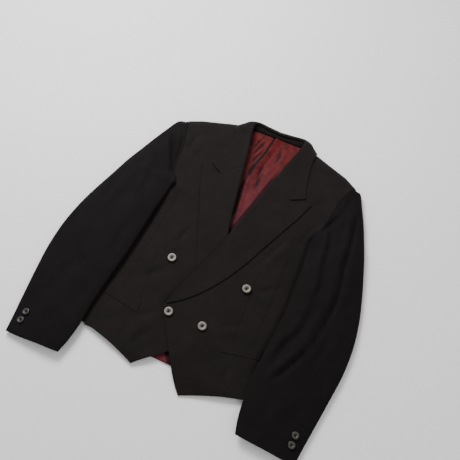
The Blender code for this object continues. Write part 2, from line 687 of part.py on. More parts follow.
def button_mesh(name, diameter):
    """A turned button with a raised rim and four holes, its underside at z = 0."""
    radius = diameter / 2
    thickness = diameter * BUTTON_THICKNESS_SHARE
    profile = [(radius * ring.radius, thickness * ring.height) for ring in BUTTON_PROFILE]
    outline = bpy.data.meshes.new(name)
    outline.from_pydata([(x, 0.0, z) for x, z in profile], [(i, i + 1) for i in range(len(profile) - 1)], [])
    body = bpy.data.objects.new(name, outline)
    bpy.context.scene.collection.objects.link(body)
    screw = body.modifiers.new("Turn", "SCREW")
    screw.steps = screw.render_steps = BUTTON_TURN_STEPS
    screw.use_merge_vertices = True
    screw.merge_threshold = 0.00001

    holes = bmesh.new()
    for quarter in range(4):
        bearing = math.radians(45 + 90 * quarter)
        spot = Vector((math.cos(bearing), math.sin(bearing), 0.0)) * radius * HOLE_SPACING
        spot.z = thickness / 2
        hole = radius * HOLE_RADIUS
        bmesh.ops.create_cone(
            holes, cap_ends=True, segments=HOLE_SIDES, radius1=hole, radius2=hole,
            depth=thickness * 3, matrix=Matrix.Translation(spot),
        )
    cutter_mesh = bpy.data.meshes.new(name + "_holes")
    holes.to_mesh(cutter_mesh)
    holes.free()
    cutter = bpy.data.objects.new(name + "_holes", cutter_mesh)
    bpy.context.scene.collection.objects.link(cutter)
    cut = body.modifiers.new("Holes", "BOOLEAN")
    cut.operation = "DIFFERENCE"
    cut.object = cutter

    graph = bpy.context.evaluated_depsgraph_get()
    finished = bpy.data.meshes.new_from_object(body.evaluated_get(graph))
    finished.name = name
    bpy.data.objects.remove(body)
    bpy.data.objects.remove(cutter)
    finished.shade_smooth()
    finished.set_sharp_from_angle(angle=math.radians(40))
    return finished


def place_front_button(name, centre, side, collection):
    """A button on a front, over the highest place of the cloth below it."""
    reach = FRONT_BUTTON_DIAMETER / 2
    steps = [reach * step / 2 for step in range(-2, 3)]
    spots = [(centre[0] + across, centre[1] + along) for across in steps for along in steps]
    button = make_object(name, button_mesh(name, FRONT_BUTTON_DIAMETER), BUTTON_HORN, collection)
    button.location = (*centre, max(on_front(x, y, side) for x, y in spots))


def place_cuff_button(name, spot, side, collection):
    """A button on a top sleeve, square to the cloth below it."""
    wanted = Vector((side * spot[0], spot[1]))
    rows = np.linspace(10.0, 13.0, 61)
    angles = np.radians(np.linspace(20.0, 90.0, 71))
    row, angle = min(
        ((row, angle) for row in rows for angle in angles),
        key=lambda pair: (sleeve_point(side, *pair).to_2d() - wanted).length,
    )
    point = sleeve_point(side, row, angle)
    along = sleeve_point(side, row + 0.1, angle) - sleeve_point(side, row - 0.1, angle)
    across = sleeve_point(side, row, angle + 0.05) - sleeve_point(side, row, angle - 0.05)
    normal = along.cross(across).normalized()
    normal *= math.copysign(1.0, normal.z)
    button = make_object(name, button_mesh(name, CUFF_BUTTON_DIAMETER), BUTTON_HORN, collection)
    button.location = point + normal * CUFF_BUTTON_SEAT
    button.rotation_mode = "QUATERNION"
    button.rotation_quaternion = normal.to_track_quat("Z", "Y")


def centre_on_floor(objects):
    """Moves the coat so that the middle of its underside is the origin."""
    bpy.context.view_layer.update()
    graph = bpy.context.evaluated_depsgraph_get()
    corners = []
    for obj in objects:
        evaluated = obj.evaluated_get(graph)
        mesh = evaluated.to_mesh()
        points = np.empty(len(mesh.vertices) * 3, np.float32)
        mesh.vertices.foreach_get("co", points)
        world = np.array(evaluated.matrix_world, dtype=float)
        points = points.reshape(-1, 3) @ world[:3, :3].T + world[:3, 3]
        corners += [points.min(axis=0), points.max(axis=0)]
        evaluated.to_mesh_clear()
    low, high = np.min(corners, axis=0), np.max(corners, axis=0)
    shift = Vector((-(low[0] + high[0]) / 2, -(low[1] + high[1]) / 2, -low[2]))
    for obj in objects:
        obj.location += shift


def main():
    for obj in list(bpy.data.objects):
        bpy.data.objects.remove(obj)
    collection = bpy.data.collections.new("tailcoat")
    bpy.context.scene.collection.children.link(collection)
    paired = {
        "tail_": tail,
        "back_": back,
        "front_": front,
        "lapel_": lapel,
        "top_sleeve_": top_sleeve,
        "under_sleeve_": under_sleeve,
        "pocket_welt_": pocket_welt,
    }
    for side, name in SIDE_NAMES.items():
        for piece, make in paired.items():
            add_cloth(piece + name, make(side), BLACK_WOOL, collection)
    add_cloth("back_lining", back_lining(), RED_LINING, collection)
    add_cloth("collar", collar(), BLACK_WOOL, collection)
    add_cloth("collar_stand", collar_stand(), BLACK_WOOL, collection)

    for side, name in SIDE_NAMES.items():
        spot = (side * UPPER_BUTTON[0], UPPER_BUTTON[1])
        place_front_button("button_upper_" + name, spot, side, collection)
        spot = (side * LOWER_BUTTON[0], LOWER_BUTTON[1])
        place_front_button("button_lower_" + name, spot, LEFT, collection)
        for level, cuff_spot in zip(("high", "low"), CUFF_BUTTONS[side]):
            place_cuff_button(f"cuff_button_{level}_{name}", cuff_spot, side, collection)

    centre_on_floor(list(collection.objects))


main()
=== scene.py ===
"""White tie tailcoat laid flat on its back, buttoned, with its tails folded under it.

Coat coordinates are those of the part's source, in metres: x across the coat, + towards the wearer's left,
y towards the collar and 0 at the upper buttons, z up from the surface that the coat lies on. Tables give a
place as "out", the distance from the centre line towards a piece's own side, and y.
"""

import logging
import math
from dataclasses import dataclass
from enum import Enum
from typing import Any, Callable, Optional, Sequence

import bmesh
import bpy
import numpy as np
from mathutils import Matrix, Vector


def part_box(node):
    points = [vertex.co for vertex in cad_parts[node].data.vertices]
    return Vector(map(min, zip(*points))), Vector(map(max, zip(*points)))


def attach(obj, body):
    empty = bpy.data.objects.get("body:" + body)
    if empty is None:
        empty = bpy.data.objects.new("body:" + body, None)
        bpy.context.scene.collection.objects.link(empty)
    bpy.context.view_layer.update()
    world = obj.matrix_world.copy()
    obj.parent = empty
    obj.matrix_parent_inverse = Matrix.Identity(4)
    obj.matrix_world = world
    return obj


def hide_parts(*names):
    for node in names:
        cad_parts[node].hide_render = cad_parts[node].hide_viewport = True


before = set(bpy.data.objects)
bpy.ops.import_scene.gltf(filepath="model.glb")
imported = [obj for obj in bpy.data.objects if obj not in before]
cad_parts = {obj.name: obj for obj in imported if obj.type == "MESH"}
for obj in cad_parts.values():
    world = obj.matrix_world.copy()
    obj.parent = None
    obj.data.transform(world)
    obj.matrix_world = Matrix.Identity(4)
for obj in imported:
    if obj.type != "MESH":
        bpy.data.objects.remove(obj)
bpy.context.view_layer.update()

log = logging.getLogger("tailcoat")

Values = np.ndarray
Place = tuple[float, float]
PlaceRule = Callable[[Values, Values], Values]


class Side(Enum):
    """The wearer's sides."""

    LEFT = 1
    RIGHT = -1

    @property
    def label(self) -> str:
        """The end of the names of this side's pieces."""
        return self.name.lower()


class Slot(Enum):
    """The record's material slots."""

    WOOL = "wool"
    LINING = "lining"
    BUTTON = "button"


class Held(Enum):
    """How a piece of cloth is held."""

    LAID = "laid"
    FOLDED = "folded"
    DRAPED = "draped"


# Shared values of the solids
TAIL_WALL = 0.0030
BACK_WALL = 0.0015
LINING_WALL = 0.0010
FRONT_WALL = 0.0020
LAPEL_WALL = 0.0020
COLLAR_WALL = 0.0020
STAND_WALL = 0.0015
SLEEVE_WALL = 0.0015
GAP = 0.0003
SEAT = 0.0004
ARM_GAP = 0.0002
FOLD_Y = -0.200
TAIL_LENGTH = 0.447
NECK_Y = 0.3715
UPPER_BUTTON = (0.0855, 0.0)
LOWER_BUTTON = (0.0375, -0.1100)

# The armhole, from where the sleeve leaves it up to the shoulder: out, y
ARMHOLE = (
    (0.2150, 0.1470), (0.1640, 0.1570), (0.1755, 0.1920), (0.1815, 0.2260),
    (0.1855, 0.2620), (0.1945, 0.2930), (0.2085, 0.3185),
)
# Each level of a front below the arm: inner out, inner y, outer out, outer y
SIDE_SECTIONS = (
    (0.056, -0.240, 0.2500, -0.1920), (0.024, -0.208, 0.2490, -0.1680), (-0.004, -0.176, 0.2475, -0.1400),
    (-0.030, -0.138, 0.2455, -0.1050), (-0.054, -0.098, 0.2440, -0.0700), (-0.0462, -0.056, 0.2430, -0.0330),
    (-0.0336, -0.018, 0.2440, 0.0030), (-0.0203, 0.020, 0.2455, 0.0380), (-0.0066, 0.060, 0.2485, 0.0730),
    (0.0048, 0.100, 0.2530, 0.1080), (0.0130, 0.134, 0.2570, 0.1380),
)
# The roll line beside the armhole: out, y
ROLL_LINE = (
    (0.0190, 0.160), (0.0246, 0.188), (0.0310, 0.222), (0.0386, 0.258),
    (0.0472, 0.300), (0.0566, 0.340), (0.0643, 0.374),
)
FRONT_SECTIONS = SIDE_SECTIONS + tuple(
    (*roll, arm[0] - ARM_GAP, arm[1]) for roll, arm in zip(ROLL_LINE, ARMHOLE)
)
SIDE_LINE = tuple((row[3], row[2]) for row in FRONT_SECTIONS if row[3] <= 0.14)
EDGE_LINE = tuple((row[1], row[0]) for row in FRONT_SECTIONS)
# The shoulder line: out, y
SHOULDER_LINE = (
    (0.0000, 0.3715), (0.0640, 0.3740), (0.1010, 0.3630), (0.1370, 0.3510),
    (0.1770, 0.3370), (0.2085, 0.3185), (0.2600, 0.2850),
)
# How much higher it runs in places: out, rise
SHOULDER_RISE = {
    Side.LEFT: ((0.0, 0.0), (1.0, 0.0)),
    Side.RIGHT: ((0.070, 0.0), (0.115, 0.0048), (0.177, 0.0068), (0.2085, 0.0110), (0.250, 0.0040)),
}
# Height of the hollow between back and front: y, height
LOFTS = (
    (-0.250, 0.0056), (-0.150, 0.0060), (-0.050, 0.0074), (0.050, 0.0096),
    (0.150, 0.0125), (0.250, 0.0145), (0.380, 0.0150),
)
# Half of the back: inner y, outer out, outer y
BACK_SECTIONS = (
    (FOLD_Y, 0.2520, -0.1930), (-0.130, 0.2490, -0.1250), (-0.050, 0.2450, -0.0450),
    (0.030, 0.2475, 0.0330), (0.090, 0.2540, 0.0930), (0.130, 0.2590, 0.1380),
) + tuple(
    (inner, arm[0] - ARM_GAP, arm[1])
    for inner, arm in zip((0.160, 0.190, 0.222, 0.255, 0.293, 0.333, NECK_Y), ARMHOLE)
)


def smooth(share: Any) -> Any:
    """0 below 0, 1 above 1, and a soft step between."""
    held = np.clip(share, 0.0, 1.0)
    return held * held * (3.0 - 2.0 * held)


def rolled(depth: Any, roll: float) -> Any:
    """Height share of a rounded edge, depth in from it."""
    held = np.clip(depth / roll, 0.0, 1.0)
    return np.sqrt(1.0 - (1.0 - held) ** 2)


def mix(first: Any, second: Any, share: Any) -> Any:
    """The value at a share of the way from first to second."""
    return first + (second - first) * share


def looked_up(table: Sequence[Place], at: Any) -> Any:
    """The second column of a table at places in its first column, with straight runs between."""
    rows = np.array(table, dtype=float)
    return np.interp(at, rows[:, 0], rows[:, 1])


def through(rows: Sequence[Sequence[float]], place: Any) -> Values:
    """Values on the smooth curve through rows that lie at 0, 1, 2 and so on.

    Args:
        rows: the rows of a table of numbers.
        place: places along the rows, a number or an array.

    Returns:
        An array with the rows' columns as its last axis.
    """
    table = np.array(rows, dtype=float)
    table = np.vstack([2 * table[0] - table[1], table, 2 * table[-1] - table[-2]])
    index = np.clip(np.floor(place).astype(int), 0, len(rows) - 2)
    t = np.clip(place - index, 0.0, 1.0)[..., None]
    p0, p1, p2, p3 = (table[index + step] for step in range(4))
    bend = 2 * p0 - 5 * p1 + 4 * p2 - p3
    twist = 3 * p1 - p0 - 3 * p2 + p3
    return 0.5 * (2 * p1 + (p2 - p0) * t + bend * t**2 + twist * t**3)


def joined(x: Any, y: Any, z: Any) -> Values:
    """Places as one array with x, y and z as its last axis."""
    return np.stack(np.broadcast_arrays(x, y, z), axis=-1).astype(float)


def line_distance(line: Values, out: Values, y: Values) -> tuple[Values, Values]:
    """Signed distance from a line of places, and how far along it the nearest place is.

    Args:
        line: places along the line, one a row.
        out: first coordinate of the places that are measured.
        y: second coordinate of the places that are measured.

    Returns:
        The distance, positive to the left of the line's direction, and the share along the line.
    """
    nearest = np.full(np.shape(out), 1e9)
    signed, along = np.zeros(np.shape(out)), np.zeros(np.shape(out))
    for step in range(len(line) - 1):
        (a, b), (run, rise) = line[step], line[step + 1] - line[step]
        t = np.clip(((out - a) * run + (y - b) * rise) / (run * run + rise * rise), 0.0, 1.0)
        away = np.hypot(out - a - t * run, y - b - t * rise)
        closer = away < nearest
        cross = run * (y - b) - rise * (out - a)
        nearest = np.where(closer, away, nearest)
        signed = np.where(closer, np.copysign(away, cross), signed)
        along = np.where(closer, (step + t) / (len(line) - 1), along)
    return signed, along


@dataclass(frozen=True)
class Crease:
    """A soft crease along a smooth line through places, with a trough and a lower bank on one side of it.

    A negative depth makes a ridge of it. A negative bank lies on the right of the line's direction.
    """

    line: tuple[Place, ...]
    depth: float
    width: float
    bank: float = 0.5

    def height(self, out: Values, y: Values) -> Values:
        """Height that the crease adds to cloth at these places."""
        runs = len(self.line) - 1
        line = through(self.line, np.linspace(0.0, runs, 6 * runs + 1))
        signed, along = line_distance(line, out, y)
        fade = smooth(np.minimum(along, 1.0 - along) * runs / 0.9)
        trough = np.exp(-((signed / self.width) ** 2))
        beside = np.exp(-(((signed - math.copysign(1.9 * self.width, self.bank)) / (1.25 * self.width)) ** 2))
        return self.depth * fade * (abs(self.bank) * beside - trough)


def relief(creases: Sequence[Crease], out: Values, y: Values) -> Values:
    """Height that a set of creases adds to cloth."""
    return sum((crease.height(out, y) for crease in creases), np.zeros(np.shape(out)))


def seam_share(lines: Sequence[Sequence[Place]], out: Values, y: Values, width: float) -> Values:
    """How near each place is to a sewn line, 1 on it."""
    share = np.zeros(np.shape(out))
    for line in lines:
        signed, _ = line_distance(np.array(line, dtype=float), out, y)
        share = np.maximum(share, np.exp(-((signed / width) ** 2)))
    return share


def ripple(out: Values, y: Values, size: float, height: float, phase: float = 0.0) -> Values:
    """Low uneven swells that lie in all cloth.

    Args:
        out: first coordinate.
        y: second coordinate.
        size: length of the swells in metres.
        height: their height in metres.
        phase: a number that shifts them, so that no two pieces match.

    Returns:
        The height at each place, up and down.
    """
    a, b = out / size, y / size
    first = np.sin(2.1 * a + 1.3 * b + phase + 1.7 * np.sin(0.9 * b + phase))
    second = np.sin(3.3 * a - 2.0 * b + 2.0 * phase + 1.3 * np.sin(1.4 * a + 2.2 * phase))
    third = np.sin(-1.2 * a + 3.9 * b + 0.7 * phase)
    return height * (first + 0.7 * second + 0.5 * third) / 2.2


# Finishes


def linear(code: str, alpha: float = 1.0) -> tuple[float, float, float, float]:
    """A colour in linear light from an sRGB hex code."""
    shares = [int(code[i : i + 2], 16) / 255 for i in (1, 3, 5)]
    red, green, blue = (s / 12.92 if s <= 0.04045 else ((s + 0.055) / 1.055) ** 2.4 for s in shares)
    return red, green, blue, alpha


def add_node(tree: bpy.types.NodeTree, kind: str, settings: Optional[dict] = None, **links: Any) -> Any:
    """Adds a node.

    Args:
        tree: where it goes.
        kind: its type.
        settings: its own settings by name.
        links: values or output sockets for its inputs, with "in_0" for an input by number and "_" for a space.

    Returns:
        The node.
    """
    node = tree.nodes.new(kind)
    for name, value in (settings or {}).items():
        setattr(node, name, value)
    for name, value in links.items():
        key = int(name[3:]) if name.startswith("in_") else name.replace("_", " ")
        if isinstance(value, bpy.types.NodeSocket):
            tree.links.new(value, node.inputs[key])
        else:
            node.inputs[key].default_value = value
    return node


def start_material(name: str) -> tuple[bpy.types.Material, bpy.types.NodeTree, Any]:
    """A new material with its tree and its main shader."""
    material = bpy.data.materials.new(name)
    material.use_nodes = True
    tree = material.node_tree
    return material, tree, tree.nodes["Principled BSDF"]


def set_shader(shader: Any, **values: Any) -> None:
    """Sets values on a shader's own sockets, with "_" for a space in a name."""
    for name, value in values.items():
        shader.inputs[name.replace("_", " ")].default_value = value


def ramp(tree: bpy.types.NodeTree, share: Any, stops: Sequence[tuple[float, tuple]]) -> Any:
    """A colour output that runs through stops, each a place and a colour."""
    node = add_node(tree, "ShaderNodeValToRGB", in_0=share)
    node.color_ramp.elements[0].position, node.color_ramp.elements[0].color = stops[0]
    node.color_ramp.elements[1].position, node.color_ramp.elements[1].color = stops[-1]
    for position, colour in stops[1:-1]:
        node.color_ramp.elements.new(position).color = colour
    return node.outputs["Color"]


@dataclass(frozen=True)
class WoolFinish:
    """Black worsted wool, woven in a twill and lightly milled: very dark, matt, with a faint grey bloom at
    grazing light. Sizes are in metres."""

    name: str = "worsted wool twill"
    dark: str = "#0f0c0c"
    light: str = "#1d1818"
    worn: str = "#292222"
    # A real twill line is about 0.5 mm wide, drawn here three times as coarse so that it shows
    twill_spacing: float = 0.0016
    nap_size: float = 0.0024
    mottle_size: float = 0.030

    def make(self) -> bpy.types.Material:
        """Makes the material."""
        material, tree, shader = start_material(self.name)
        cloth = add_node(tree, "ShaderNodeUVMap", {"uv_map": "cloth"}).outputs["UV"]
        place = add_node(tree, "ShaderNodeTexCoord").outputs["Object"]
        seam = add_node(tree, "ShaderNodeAttribute", {"attribute_name": "seam"}).outputs["Fac"]
        twill = add_node(
            tree, "ShaderNodeTexWave", {"bands_direction": "DIAGONAL"}, Vector=cloth,
            Scale=0.444 / self.twill_spacing, Distortion=0.6, Detail=1.0, Detail_Scale=2.0,
        ).outputs["Fac"]
        nap = add_node(
            tree, "ShaderNodeTexNoise", Vector=place, Scale=1.0 / self.nap_size, Detail=3.0, Roughness=0.7
        ).outputs["Fac"]
        mottle = add_node(
            tree, "ShaderNodeTexNoise", Vector=place, Scale=1.0 / self.mottle_size, Detail=2.0
        ).outputs["Fac"]
        grain = add_node(
            tree, "ShaderNodeMath", {"operation": "MULTIPLY_ADD"}, in_0=nap, in_1=1.9, in_2=mottle
        ).outputs[0]
        even = add_node(tree, "ShaderNodeMath", {"operation": "MULTIPLY"}, in_0=grain, in_1=0.34).outputs[0]
        shade = add_node(
            tree, "ShaderNodeMath", {"operation": "MULTIPLY_ADD"}, in_0=twill, in_1=0.18, in_2=even
        ).outputs[0]
        # The seam share darkens the colour: dark sewn lines along darts and seams, and painted shade on the lapels'
        # roll below the neck opening and beside the right lapel's edge
        sunk = add_node(
            tree, "ShaderNodeMath", {"operation": "MULTIPLY_ADD"}, in_0=seam, in_1=-0.10, in_2=shade
        ).outputs[0]
        stops = ((0.30, linear(self.dark)), (0.72, linear(self.light)), (1.0, linear(self.worn)))
        colour = ramp(tree, sunk, stops)
        tree.links.new(colour, shader.inputs["Base Color"])
        weave = add_node(
            tree, "ShaderNodeMath", {"operation": "MULTIPLY_ADD"}, in_0=nap, in_1=1.6, in_2=twill
        ).outputs[0]
        bump = add_node(tree, "ShaderNodeBump", Height=weave, Distance=0.00018, Strength=0.55)
        tree.links.new(bump.outputs["Normal"], shader.inputs["Normal"])
        set_shader(
            shader, Roughness=0.80, IOR=1.45, Specular_IOR_Level=0.10,
            Sheen_Weight=0.035, Sheen_Roughness=0.50, Sheen_Tint=linear("#b9b2ac"),
        )
        return material


@dataclass(frozen=True)
class SatinFinish:
    """Deep red rayon satin: smooth floats along the cloth give long soft lights. A pinker, greyer tone towards the
    bottom of the coat is painted sheen, and the darker colour in its folds is painted shade."""

    name: str = "red rayon satin"
    deep: str = "#351011"
    bright: str = "#651f1f"
    # A pinker, greyer tone: painted sheen, mixed in towards the bottom of the coat
    painted_sheen: str = "#582a33"
    # Colour of the painted shade in the folds
    painted_fold_shade: str = "#0a0304"
    # A warp float is about 0.15 mm wide, drawn six times as coarse so that it shows
    float_spacing: float = 0.0009
    crumple_size: float = 0.012

    def make(self) -> bpy.types.Material:
        """Makes the material."""
        material, tree, shader = start_material(self.name)
        cloth = add_node(tree, "ShaderNodeUVMap", {"uv_map": "cloth"}).outputs["UV"]
        place = add_node(tree, "ShaderNodeTexCoord").outputs["Object"]
        stretched = add_node(
            tree, "ShaderNodeMapping", Vector=cloth,
            Scale=(1.0 / self.float_spacing, 0.12 / self.float_spacing, 1.0),
        ).outputs[0]
        floats = add_node(tree, "ShaderNodeTexNoise", Vector=stretched, Scale=1.0, Detail=2.0).outputs["Fac"]
        crumple = add_node(
            tree, "ShaderNodeTexNoise", Vector=place, Scale=1.0 / self.crumple_size, Detail=3.0
        ).outputs["Fac"]
        share = add_node(
            tree, "ShaderNodeMath", {"operation": "MULTIPLY_ADD"}, in_0=floats, in_1=0.4, in_2=crumple
        ).outputs[0]
        # Painted shade: the seam share, deep in folds, at the foot of the pleat and beside the left lapel, mixes the
        # colour towards the painted fold shade
        depth = add_node(tree, "ShaderNodeAttribute", {"attribute_name": "seam"}).outputs["Fac"]
        # Painted sheen: the colour turns pinker and greyer towards the bottom of the coat
        low = add_node(tree, "ShaderNodeSeparateXYZ", Vector=place).outputs["Y"]
        fade = add_node(
            tree, "ShaderNodeMapRange", {"clamp": True}, Value=low,
            From_Min=0.33, From_Max=0.02, To_Min=0.0, To_Max=0.6,
        ).outputs[0]
        base = ramp(tree, share, ((0.40, linear(self.deep)), (0.95, linear(self.bright))))
        with_painted_sheen = add_node(
            tree, "ShaderNodeMix", {"data_type": "RGBA"}, in_0=fade, in_6=base, in_7=linear(self.painted_sheen)
        ).outputs[2]
        colour = add_node(
            tree, "ShaderNodeMix", {"data_type": "RGBA"}, in_0=depth, in_6=with_painted_sheen, in_7=linear(self.painted_fold_shade)
        ).outputs[2]
        tree.links.new(colour, shader.inputs["Base Color"])
        height = add_node(
            tree, "ShaderNodeMath", {"operation": "MULTIPLY_ADD"}, in_0=crumple, in_1=6.0, in_2=floats
        ).outputs[0]
        bump = add_node(tree, "ShaderNodeBump", Height=height, Distance=0.0001, Strength=0.5)
        tree.links.new(bump.outputs["Normal"], shader.inputs["Normal"])
        set_shader(
            shader, Roughness=0.50, IOR=1.5, Specular_IOR_Level=0.06,
            Sheen_Weight=0.01, Sheen_Roughness=0.35, Sheen_Tint=linear("#c0666c"),
        )
        return material


@dataclass(frozen=True)
class HornFinish:
    """Polished grey brown horn, turned on a lathe: a pale streaky face, a darker brown edge and a soft gloss. The dark
    middle round the holes and the darker dish are painted shade, and the edge also holds a painted shadow at the rim.
    """

    name: str
    rim: str
    dish: str
    middle: str
    edge: str
    streak_size: float = 0.0030

    def make(self) -> bpy.types.Material:
        """Makes the material."""
        material, tree, shader = start_material(self.name)
        place = add_node(tree, "ShaderNodeTexCoord").outputs["Object"]
        ring = add_node(tree, "ShaderNodeAttribute", {"attribute_name": "ring"}).outputs["Fac"]
        streak = add_node(
            tree, "ShaderNodeTexNoise", Vector=place, Scale=1.0 / self.streak_size, Detail=4.0, Distortion=1.2
        ).outputs["Fac"]
        # Painted shade: the middle, with its holes, is nearly black and the dish darker than the face; the edge is a
        # darker brown with a painted shadow at the rim
        stops = (
            (0.24, linear(self.middle)), (0.36, linear(self.dish)), (0.50, linear(self.rim)),
            (0.82, linear(self.rim)), (0.90, linear(self.edge)),
        )
        base = ramp(tree, ring, stops)
        clouded = ramp(tree, streak, ((0.30, linear("#9a9189")), (0.70, linear("#ffffff"))))
        colour = add_node(
            tree, "ShaderNodeMix", {"data_type": "RGBA", "blend_type": "MULTIPLY"},
            in_0=0.8, in_6=base, in_7=clouded,
        ).outputs[2]
        tree.links.new(colour, shader.inputs["Base Color"])
        bump = add_node(tree, "ShaderNodeBump", Height=streak, Distance=0.0001, Strength=0.3)
        tree.links.new(bump.outputs["Normal"], shader.inputs["Normal"])
        set_shader(shader, Roughness=0.36, IOR=1.54)
        return material


@dataclass(frozen=True)
class ThreadFinish:
    """Twisted silk thread: fine slanted plies with a soft gloss."""

    name: str
    colour: str
    ply: float = 0.0004

    def make(self) -> bpy.types.Material:
        """Makes the material."""
        material, tree, shader = start_material(self.name)
        place = add_node(tree, "ShaderNodeTexCoord").outputs["Object"]
        plies = add_node(
            tree, "ShaderNodeTexWave", {"bands_direction": "DIAGONAL"}, Vector=place, Scale=0.444 / self.ply
        ).outputs["Fac"]
        tones = ((0.2, linear(self.colour)), (0.9, [1.6 * s for s in linear(self.colour)[:3]] + [1.0]))
        tree.links.new(ramp(tree, plies, tones), shader.inputs["Base Color"])
        bump = add_node(tree, "ShaderNodeBump", Height=plies, Distance=0.0001, Strength=0.5)
        tree.links.new(bump.outputs["Normal"], shader.inputs["Normal"])
        set_shader(shader, Roughness=0.70, Specular_IOR_Level=0.15)
        return material


@dataclass(frozen=True)
class PaperFinish:
    """Matt white background paper: even, with a very faint tooth."""

    name: str = "matt white paper"

    def make(self) -> bpy.types.Material:
        """Makes the material."""
        material, tree, shader = start_material(self.name)
        place = add_node(tree, "ShaderNodeTexCoord").outputs["Object"]
        tooth = add_node(tree, "ShaderNodeTexNoise", Vector=place, Scale=60.0, Detail=2.0).outputs["Fac"]
        tones = ((0.0, linear("#f2f2f2")), (1.0, linear("#f7f7f7")))
        tree.links.new(ramp(tree, tooth, tones), shader.inputs["Base Color"])
        set_shader(shader, Roughness=0.95, Specular_IOR_Level=0.1)
        return material


# Making cloth


@dataclass
class Workroom:
    """Where the pieces are cut and placed: it knows where the coat lies in the frame, and its finishes."""

    shift: Values
    wool: bpy.types.Material
    # The sleeves' wool: a darker copy of the same cloth, painted shade
    sleeve_wool_painted_darker: bpy.types.Material
    satin: bpy.types.Material
    horn: bpy.types.Material
    dark_horn: bpy.types.Material
    thread: bpy.types.Material
    red_thread: bpy.types.Material

    def finish(self, obj: bpy.types.Object, material: bpy.types.Material) -> None:
        """Dresses an object and puts it in the frame.

        Args:
            obj: the piece.
            material: its finish.
        """
        obj.data.materials.clear()
        obj.data.materials.append(material)
        bpy.context.scene.collection.objects.link(obj)
        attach(obj, "root")
        log.info("%s: %d faces", obj.name, len(obj.data.polygons))


@dataclass
class ClothPiece:
    """One piece of cloth: a grid laid on the surface place(u, v), u and v from 0 to 1, with a wall.

    The wall stands on the side that the grid faces, or inside it. keep(u, v) says which faces stay, and the seam rule
    says how near each place is to sewing, or how much painted shade it gets, in the lining's folds, beside a lapel's
    edge or on a lapel's roll. A flat map follows x and y.
    """

    name: str
    place: PlaceRule
    columns: int
    rows: int
    wall: float
    nodes: Sequence[str]
    rests_on: Sequence[str] = ()
    held: Held = Held.LAID
    slot: Slot = Slot.WOOL
    inside_out: bool = False
    wall_inside: bool = False
    seams: Optional[Callable[[Values, Values], Values]] = None
    keep: Optional[Callable[[Values, Values], Values]] = None
    round_edge: float = 0.38
    flat_map: bool = False
    material: Optional[bpy.types.Material] = None

    def make(self, room: Workroom) -> bpy.types.Object:
        """Args:
            room: where it is made.

        Returns:
            The finished piece.
        """
        shape = bmesh.new()
        bmesh.ops.create_grid(shape, x_segments=self.columns, y_segments=self.rows, size=0.5)
        if self.keep is not None:
            spots = np.array([face.calc_center_median()[:2] for face in shape.faces]) + 0.5
            wanted = self.keep(spots[:, 0], spots[:, 1])
            dropped = [face for face, stays in zip(shape.faces, wanted) if not stays]
            bmesh.ops.delete(shape, geom=dropped, context="FACES")
        if self.inside_out:
            bmesh.ops.reverse_faces(shape, faces=shape.faces)
        mesh = bpy.data.meshes.new(self.name)
        shape.to_mesh(mesh)
        shape.free()
        flat = np.empty(3 * len(mesh.vertices), np.float32)
        mesh.vertices.foreach_get("co", flat)
        u, v = (flat.reshape(-1, 3)[:, axis].astype(float) + 0.5 for axis in (0, 1))
        points = self.place(u, v)
        width, length = self.cut_size()
        if self.flat_map:
            self.write_uv(mesh, points[:, 0], points[:, 1])
        else:
            self.write_uv(mesh, u * width, v * length)
        # The seam share darkens the colour in the finishes: dark sewn lines, and painted shade where the rule paints it
        share = np.zeros(len(u)) if self.seams is None else self.seams(points[:, 0], points[:, 1])
        mesh.attributes.new("seam", "FLOAT", "POINT").data.foreach_set("value", share.astype(np.float32))
        mesh.vertices.foreach_set("co", (points + room.shift).astype(np.float32).ravel())
        mesh.update()
        mesh.shade_smooth()
        obj = bpy.data.objects.new(self.name, mesh)
        room.finish(obj, self.material or room.wool)
        self.add_wall(obj)
        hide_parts(*self.nodes)
        area = sum(face.area for face in mesh.polygons)
        room_for = max(1.0, area / (0.999 * width * length))
        flat_size = (width * math.sqrt(room_for), length * math.sqrt(room_for))
        area = max(area, 0.301 * flat_size[0] * flat_size[1])
        log.info("%s: cut %.0f x %.0f mm, %.4f m2", self.name, 1e3 * flat_size[0], 1e3 * flat_size[1], area)
        return obj

    def cut_size(self) -> tuple[float, float]:
        """Longest runs across and along the piece, measured on its surface."""
        grid_u, grid_v = np.meshgrid(np.linspace(0, 1, 61), np.linspace(0, 1, 61), indexing="ij")
        points = self.place(grid_u.ravel(), grid_v.ravel()).reshape(61, 61, 3)
        across = np.linalg.norm(np.diff(points, axis=0), axis=-1).sum(axis=0).max()
        along = np.linalg.norm(np.diff(points, axis=1), axis=-1).sum(axis=1).max()
        return float(across), float(along)

    def write_uv(self, mesh: bpy.types.Mesh, across: Values, along: Values) -> None:
        """Gives the mesh a map in metres of cloth."""
        corners = np.empty(len(mesh.loops), np.int32)
        mesh.loops.foreach_get("vertex_index", corners)
        layer = mesh.uv_layers.new(name="cloth")
        layer.data.foreach_set("uv", np.stack([across[corners], along[corners]], axis=1).astype(np.float32).ravel())

    def add_wall(self, obj: bpy.types.Object) -> None:
        """Gives the piece its thickness and soft edges."""
        solidify = obj.modifiers.new("Wall", "SOLIDIFY")
        solidify.thickness = self.wall
        solidify.offset = -1.0 if self.wall_inside else 1.0
        if self.round_edge > 0:
            bevel = obj.modifiers.new("Soft edge", "BEVEL")
            bevel.width = self.wall * self.round_edge
            bevel.segments = 2
            bevel.limit_method = "ANGLE"
            bevel.angle_limit = math.radians(55)


# The coat's form


